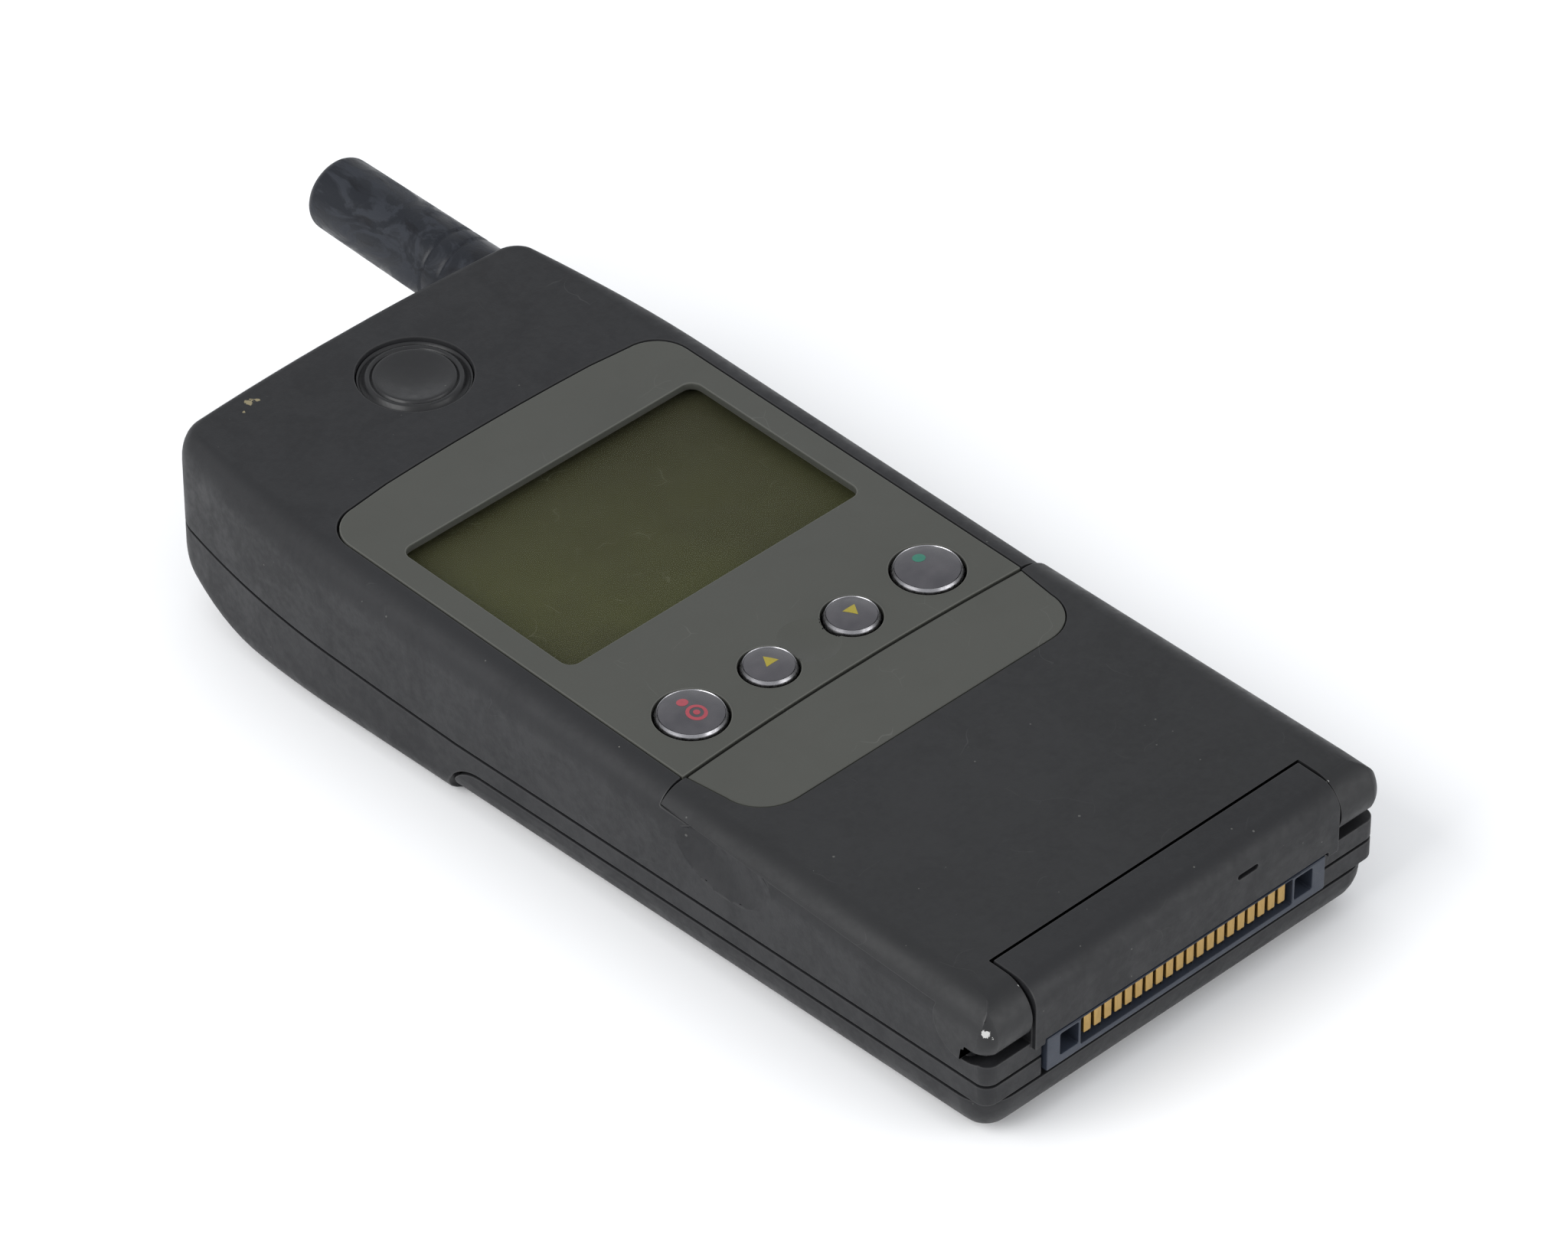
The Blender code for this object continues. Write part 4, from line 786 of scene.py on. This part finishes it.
def battery_shell():
    levels = [(0.0, battery_z)] + edge_levels(BATTERY_EDGE, back_z, 1)[::-1]
    ribs = [rounded_rectangle(9, 8.0 + 2.4 * rib, 9.1 + 2.4 * rib, 0.5, 5) for rib in range(5)]
    raised = boxes(((-RAISED_HALF, RAISED_LOW, 3), (RAISED_HALF, RAISED_HIGH, BATTERY_HEIGHT + 2)))
    hooks = boxes(((-23.2, 2.4, 5.0), (-20.2, 4.2, 6.6)), ((20.2, 2.4, 5.0), (23.2, 4.2, 6.6)))
    hollow = boxes(((-RAISED_HALF + 1, RAISED_LOW + 1, 1.2), (RAISED_HALF - 1, RAISED_HIGH - 1, 9)))
    steps = [("trim", from_back(side_profile(battery_bay(0.0), 30))),
             ("join", from_back(raised)),
             ("join", from_back(hooks)),
             ("cut", from_back(hollow)),
             ("cut", from_back(boxes(((-4.5, 75.8, 1.9), (4.5, 79, 3.6))))),
             ("cut", from_back(curve_mesh(ribs, -1, 0.4)))]
    mesh = flatten(combine(skin(levels, battery_half), *steps))
    piece("battery_shell", mesh, SHELL, "battery", ("battery_case",), bevel=0.16,
          edge_look=SHELL_EDGE_HIGHLIGHT)


# ---------------------------------------------------------------- flap

def flap_z(y):
    along = max(0.0, min(1.0, (y - 5.0) / (FLAP_TOP - 5.0)))
    return FLAP_RAISE * (1 - along)


def flap_half(inset=0.0):
    """Right half of the flap's outline seen from the front, knuckles included."""
    side, low, corner = FLAP_HALF - inset, HINGE_Y - KNUCKLE_RADIUS - 0.6, 0.9
    points = arc((side - corner, low + corner), corner, -90, 0, 8)
    return points + [(side, y) for y in (5.0, 12.0, 20.0, 30.0, 38.0, 43.5)] + flap_arch(side, FLAP_TOP)


def inlay_half(inset=0.0):
    corner = 4.8 - inset
    points = arc((22.0 - 4.8, 36.0 + 4.8), corner, -90, 0, 12)
    reach = 3.0 if inset < 0 else 0.0
    return points + flap_arch(22.6 - inset + 0.125 * reach, FLAP_TOP - 0.1 + reach)


def flap_side():
    """Side outline of the flap: a plate with a round knuckle about the hinge axis."""
    radius = KNUCKLE_RADIUS - 0.01
    under = math.degrees(math.asin((FLAP_UNDER - HINGE_Z) / radius))
    knuckle = arc((HINGE_Y, HINGE_Z), radius, 90, 360 + under, 80)
    return [(50, 3), (HINGE_Y, 3)] + knuckle + [(50, FLAP_UNDER)]


def pin_holes(shape):
    for sign in (-1, 1):
        inner, outer = sign * 20.0, sign * PIN_REACH
        add_cylinder(shape, "x", (inner, HINGE_Y, HINGE_Z), (outer, HINGE_Y, HINGE_Z), PIN_RADIUS + GAP)


def flap_plate():
    levels = edge_levels(FRONT_EDGE, flap_z, -1, 12) + [(0.0, flat(-8.0))]
    inner = BLOCK_HALF + GAP
    pocket = [(9, -3), (44.2, -3), (44.2, flap_z(44.2) - FLAP_SHELL), (9, flap_z(9) - FLAP_SHELL)]
    recess = [(-0.12, lambda y: flap_z(y) - 0.6), (-0.12, lambda y: flap_z(y) + 2)]
    block_room = cylinder("x", (-inner, HINGE_Y, HINGE_Z), (inner, HINGE_Y, HINGE_Z), BLOCK_CLEARANCE, 120)
    under_cut = boxes(((-FLAP_HALF - 1, -3, -8), (FLAP_HALF + 1, 3.2, KNUCKLE_UNDER)))
    end, barrel_radius = FLAP_HALF + 0.04, KNUCKLE_RADIUS + 0.05
    ends = arc((barrel_radius - KNUCKLE_END, end - KNUCKLE_END), KNUCKLE_END, 90, 0, 12)
    barrel = [(0.0, end)] + ends + [(r, -x) for r, x in ends[::-1]] + [(0.0, -end)]
    ball_ends = combine(turned(barrel, "x", (0, HINGE_Y, HINGE_Z), 120),
                        ("join", boxes(((-30, HINGE_Y, -10), (30, 60, 10)))))
    mesh = combine(skin(levels, flap_half), ("trim", side_profile(flap_side(), 30)),
                   ("trim", ball_ends), ("cut", block_room), ("cut", mesh_from(pin_holes)),
                   ("cut", under_cut), ("cut", side_profile(pocket, 23.6)), ("cut", skin(recess, inlay_half)))
    plate = piece("flap_plate", flatten(mesh), FLAP, "flap", ("flap_shell",), bevel=0.1,
                  edge_look=SHELL_EDGE_HIGHLIGHT)
    for vertex in plate.data.vertices:
        vertex.co.x = max(-FLAP_HALF * MM, min(FLAP_HALF * MM, vertex.co.x))
    inlay = skin([(0.0, lambda y: flap_z(y) - 0.4), (0.0, flap_z)], inlay_half)
    piece("flap_inlay_panel", flatten(inlay), BEZEL, "flap", ("flap_inlay",), bevel=0.12)


# ---------------------------------------------------------------- face

def bezel():
    plate = curve_mesh([bezel_outline()], -BEZEL_THICK, 0)
    window = rounded_rectangle(WINDOW_HALF, WINDOW_LOW, WINDOW_HIGH, 1.3)
    def dish(shape):
        matrix = Matrix.Translation((0, KEY_ROW_Y + 0.2, 7.0)) @ Matrix.Diagonal((8.3, 8.6, 7.6, 1))
        bmesh.ops.create_uvsphere(shape, u_segments=96, v_segments=96, radius=1.0, matrix=matrix)
    mesh = combine(plate, ("cut", mesh_from(dish)), ("cut", curve_mesh([window], -3, 2)),
                   ("cut", key_holes(-0.05)))
    piece("bezel", flatten(mesh), BEZEL, stands_for=("bezel_plate",), bevel=0.13,
          edge_look=BEZEL_EDGE_HIGHLIGHT)


def dome_height(radius, r):
    """Height of a function key's dome at a distance from its middle."""
    return 0.8 - 0.62 * (r / radius) ** 2.2


def print_point(x, px, py, radius):
    """Where a point of a print lies on the dome of the key at x."""
    return x + px, KEY_ROW_Y + py, dome_height(radius, math.hypot(px, py)) + PRINT_LIFT


def on_dome(points, x, radius):
    """A flat print laid over a key's dome, as a fan from the print's middle in three rings."""
    mx, my = [sum(values) / len(points) for values in zip(*points)]
    def build(shape):
        rings = []
        for part in (0.34, 0.67, 1.0):
            ring = [(mx + (px - mx) * part, my + (py - my) * part) for px, py in points]
            rings.append([shape.verts.new(print_point(x, px, py, radius)) for px, py in ring])
        centre = shape.verts.new(print_point(x, mx, my, radius))
        for i in range(len(points)):
            j = (i + 1) % len(points)
            shape.faces.new((centre, rings[0][i], rings[0][j]))
            for inner, outer in zip(rings, rings[1:]):
                shape.faces.new((inner[i], outer[i], outer[j], inner[j]))
    return mesh_from(build)


def ring_print(x, y, outer, inner, dome):
    """A printed ring on a key's dome."""
    def build(shape):
        circles = []
        for r in (outer, inner):
            points = arc((0, y), r, 0, 352.5, 47)
            circles.append([shape.verts.new(print_point(x, px, py, dome)) for px, py in points])
        for i in range(48):
            j = (i + 1) % 48
            shape.faces.new((circles[0][i], circles[0][j], circles[1][j], circles[1][i]))
    return mesh_from(build)


def function_keys():
    red = printed("print_red_look", (0.27, 0.035, 0.05))
    yellow = printed("print_yellow_look", (0.26, 0.21, 0.015))
    green = printed("print_green_look", (0.010, 0.13, 0.085))
    for name, x, radius in FUNCTION_KEYS:
        cap_edge = radius - 0.34
        dome = [(cap_edge * i / 9, dome_height(radius, cap_edge * i / 9)) for i in range(10)]
        profile = dome + [(cap_edge, -0.9), (0.0, -0.9)]
        piece(name + "_cap", turned(profile, "z", (x, KEY_ROW_Y, 0)), CAP, name, (name,), sharp=50)
        seam, low = cap_edge + 0.02, dome_height(radius, cap_edge) - 0.05
        ring = [(seam, low), (cap_edge + 0.1, dome_height(radius, cap_edge) + 0.03), (radius - 0.12, 0.08),
                (radius, -0.14), (radius, -2.5), (radius + 0.8, -2.5), (radius + 0.8, -3.1),
                (seam, -3.1), (seam, low)]
        piece(name + "_ring", turned(ring, "z", (x, KEY_ROW_Y, 0)), RING, name, sharp=50)
    dot = lambda y, r: arc((0.0, y), r, 0, 345, 23)
    piece("key_end_dot", on_dome(dot(1.3, 0.6), -16.0, 3.65), red, "key_end")
    piece("key_end_circle", ring_print(-16.0, -0.75, 1.1, 0.72, 3.65), red, "key_end")
    piece("key_end_centre", on_dome(dot(-0.75, 0.36), -16.0, 3.65), red, "key_end")
    piece("key_call_dot", on_dome(dot(1.25, 0.68), 16.0, 3.65), green, "key_call")
    for name, x, way in (("key_up", -5.6, 1), ("key_down", 5.6, -1)):
        corners = [(0.0, 0.9 * way), (-0.82, -0.5 * way), (0.82, -0.5 * way)]
        edge = []
        for a, b in zip(corners, corners[1:] + corners[:1]):
            edge += [(a[0] + (b[0] - a[0]) * i / 6, a[1] + (b[1] - a[1]) * i / 6) for i in range(6)]
        piece(name + "_arrow", on_dome(edge, x, 2.9), yellow, name)


def pad_keys():
    cap = moulded("pad_key_look", (0.12, 0.12, 0.122), 0.45, dust=0.3)
    ink = printed("pad_print_look", (0.72, 0.72, 0.70))
    for label, name, x, y in pad_places():
        half_x, half_y = PAD_KEY[0] / 2, PAD_KEY[1] / 2
        outline = rounded_rectangle(half_x - 0.6, y - half_y + 0.6, y + half_y - 0.6, 1.5, 8, x)
        body = curve_mesh([outline], -4.5, -1.65, 0.6, 4)
        piece(name + "_cap", body, cap, name, (name,), sharp=40)
        text = bpy.data.curves.new("digit", "FONT")
        text.body = label
        text.size = 3.6
        text.align_x = "CENTER"
        text.align_y = "CENTER"
        text.extrude = 0.02
        holder = hold(text)
        holder.location = (x, y - (0.7 if label == "*" else 0.0), -1.64)
        piece(name + "_digit", tidy(evaluated_mesh(holder), 0.0005), ink, name)


def ear_cover():
    profile = [(0.0, -0.78), (0.6, -0.76), (1.4, -0.68), (2.2, -0.54), (3.0, -0.36), (3.6, -0.2), (4.0, -0.1)]
    profile += [(4.2, -0.09), (4.32, -0.16), (4.4, -0.4), (4.48, -0.42), (4.6, -0.22), (4.85, -0.14)]
    profile += [(5.1, -0.22), (5.2, -0.6), (5.62, -0.72), (5.8, -0.5), (5.92, -0.46), (6.02, -0.62)]
    profile += [(6.02, -0.9), (0.0, -0.9)]
    piece("ear_cover", turned(profile, "z", (0, EAR_Y, 0), 96), EAR, stands_for=("earpiece_cover",),
          sharp=50)


def display():
    lens = rounded_rectangle(WINDOW_HALF + 1.6, WINDOW_LOW - 1.6, WINDOW_HIGH + 1.6, 1.7)
    piece("window_lens", curve_mesh([lens], -1.75, -1.2, 0.08), clear_window(),
          stands_for=("display_lens",))
    glass = rounded_rectangle(WINDOW_HALF + 1.2, WINDOW_LOW - 1.2, WINDOW_HIGH + 1.2, 0.6)
    piece("display_glass", curve_mesh([glass], -3.0, -1.95, 0.1), OLIVE,
          stands_for=("lcd_glass",))


# ---------------------------------------------------------------- ends

def antenna():
    bore, tip_round, start, end = 2.9, 1.3, 117.0, ANTENNA_END
    radius_at = lambda y: ANTENNA_BASE + (ANTENNA_TIP - ANTENNA_BASE) * (y - start) / (end - start)
    profile = [(0.0, end - 0.05), (1.6, end - 0.07)]
    profile += arc((ANTENNA_TIP - tip_round, end - tip_round - 0.08), tip_round, 90, 0, 9)
    for y in (141.0, 138.0, 135.0, 132.0, 129.0):
        profile.append((radius_at(y), y))
    for groove in (126.4, 124.0):
        profile += [(radius_at(groove), groove + 0.4), (radius_at(groove) - 0.18, groove + 0.14),
                    (radius_at(groove) - 0.18, groove - 0.14), (radius_at(groove), groove - 0.4)]
    profile += [(radius_at(start + 0.4), start + 0.4), (radius_at(start) - 0.15, start), (bore, start)]
    profile += [(bore, end - 2.2), (0.0, end - 2.2)]
    piece("antenna_rubber", turned(profile, "y", (ANTENNA_X, 0, ANTENNA_Z), 96), RUBBER,
          stands_for=("antenna_sleeve",), sharp=50)


def connector():
    half = CONNECTOR_HALF
    sockets = [((sign * SOCKET_X - 1.2, -1, -9.4), (sign * SOCKET_X + 1.2, 4.4, -6.75)) for sign in (-1, 1)]
    mesh = combine(boxes(((-half, 0.1, CONNECTOR_LOW), (half, 6.2, CONNECTOR_TOP))),
                   ("cut", boxes(((-14.35, -1, -9.75), (14.35, 3.2, -6.5)))), ("cut", boxes(*sockets)))
    piece("connector_body", flatten(mesh), CONNECTOR, stands_for=("connector_housing",),
          bevel=0.15)
    strips = []
    for number in range(CONTACTS):
        middle = (number - (CONTACTS - 1) / 2) * CONTACT_PITCH
        strips.append(((middle - 0.5, 0.4, -9.0), (middle + 0.5, 2.6, -6.6)))
    comb = boxes(*strips)
    piece("contact_strips", comb, GOLD, stands_for=("connector_contacts",), bevel=0.14, sharp=40)
    ribs = [((x - 0.13, 0.75, -9.7), (x + 0.13, 3.3, -6.55))
            for x in [(number - CONTACTS / 2) * CONTACT_PITCH for number in range(CONTACTS + 1)]]
    piece("contact_ribs", boxes(*ribs), DEEP, bevel=0.05, sharp=40)


def screw_heads():
    for number, (x, y) in enumerate(SCREW_PLACES, 1):
        top, low = SCREW_HEAD_Z - 0.15, SCREW_HEAD_Z - 1.25
        profile = [(0.0, -3.2), (0.6, -3.2), (0.6, top), (1.5, top)]
        profile += [(1.5, low + 0.25), (1.3, low), (0.0, low)]
        body = turned(profile, "z", (x, y, 0), 40)
        star = [(x + r * math.cos(a), y + r * math.sin(a)) for r, a in
                ((0.78 if i % 2 else 0.58, math.pi * i / 6) for i in range(12))]
        mesh = combine(body, ("cut", curve_mesh([star], low - 1, low + 0.6)))
        piece(f"screw_{number}_star", mesh, BLACK_STEEL, stands_for=(f"screw_{number}",),
              bevel=0.06)


def latch_button():
    plate = boxes(((-8.4, 80.6, 2.05), (8.4, 85.5, 3.1)))
    tongue = boxes(((-4.0, 76.2, 2.3), (4.0, 81.5, 3.1)))
    grooves = boxes(*[((-5.6, 81.75 + 0.62 * i, 0), (5.6, 82.0 + 0.62 * i, 0.65)) for i in range(4)])
    grip = combine(boxes(((-7.0, 81.2, 0.3), (7.0, 84.2, 2.6))), ("join", plate), ("join", tongue),
                   ("cut", grooves))
    piece("latch_button", grip, SHELL, "latch", ("battery_latch",), BACK, 0.12, SHELL_EDGE_HIGHLIGHT)


# ---------------------------------------------------------------- what the frame already shapes well

def dress_frame_nodes():
    board = circuit_board()
    white = moulded("diffuser_look", (0.6, 0.6, 0.57), 0.5, dust=0.2)
    mat = moulded("silicone_look", (0.22, 0.23, 0.24), 0.6, dust=0.2)
    looks = {board: ("main_board", "battery_board"), white: ("lcd_frame",), mat: ("keypad_mat",),
             TIN: ("shield_rf", "shield_logic", "earpiece_speaker", "microphone"),
             STEEL: ("hinge_pin_left", "hinge_pin_right", "hinge_spring", "latch_spring", "battery_cell_1",
                     "battery_cell_2", "battery_cell_3"),
             GOLD: ("battery_terminal_minus", "battery_terminal_plus"),
             BRASS: ("antenna_bush", "antenna_coil"),
             DEEP: ("sim_holder", "buzzer", "battery_lid")}
    for look, nodes in looks.items():
        for node in nodes:
            made = frame["nodes"][node]
            made.data.materials.clear()
            made.data.materials.append(look)


# ---------------------------------------------------------------- studio

def studio():
    floor = hold(mesh_from(lambda shape: bmesh.ops.create_grid(shape, x_segments=2, y_segments=2, size=2.5)))
    floor.name = "floor"
    floor.data.materials.append(floor_look())
    world = bpy.data.worlds.new("studio")
    bpy.context.scene.world = world
    world.use_nodes = True
    background = world.node_tree.nodes["Background"]
    background.inputs["Color"].default_value = (0.95, 0.97, 1.0, 1.0)
    background.inputs["Strength"].default_value = 0.86
    for name, place, aim, size, power in (("key", (-0.55, 0.05, 0.42), (0, 0, 0), 0.5, 3.8),
                                          ("fill", (0.30, -0.95, 0.35), (0, -0.03, 0), 0.8, 5.0)):
        light = bpy.data.lights.new(name, "AREA")
        light.size = size
        light.energy = power
        lamp = bpy.data.objects.new(name, light)
        lamp.location = place
        lamp.rotation_euler = (Vector(place) - Vector(aim)).to_track_quat("Z", "Y").to_euler()
        bpy.context.scene.collection.objects.link(lamp)
    bpy.context.scene.view_settings.view_transform = "Standard"


def camera():
    azimuth, elevation = math.radians(-43.598), math.radians(39.945)
    level = math.cos(elevation)
    back = Vector((math.sin(azimuth) * level, -math.cos(azimuth) * level, math.sin(elevation)))
    right = Vector((math.cos(azimuth), math.sin(azimuth), 0.0))
    up = back.cross(right)
    turn = TURN_FRONT @ Matrix((right, up, back)).transposed().to_4x4()
    target = FRONT @ (Vector((0.510, 56.42, 0.0)) * MM)
    lens = bpy.data.cameras.new("photo_camera")
    lens.lens = 205.1
    lens.sensor_width = 36.0
    lens.clip_start = 0.05
    lens.clip_end = 20.0
    made = bpy.data.objects.new("photo_camera", lens)
    made.matrix_world = Matrix.Translation(target + TURN_FRONT.to_3x3() @ back * 0.87745) @ turn
    bpy.context.scene.collection.objects.link(made)
    bpy.context.scene.camera = made


camera()
studio()
front_shell()
rear_shell()
battery_shell()
flap_plate()
bezel()
function_keys()
pad_keys()
ear_cover()
display()
antenna()
connector()
screw_heads()
latch_button()
dress_frame_nodes()

bpy.context.view_layer.update()
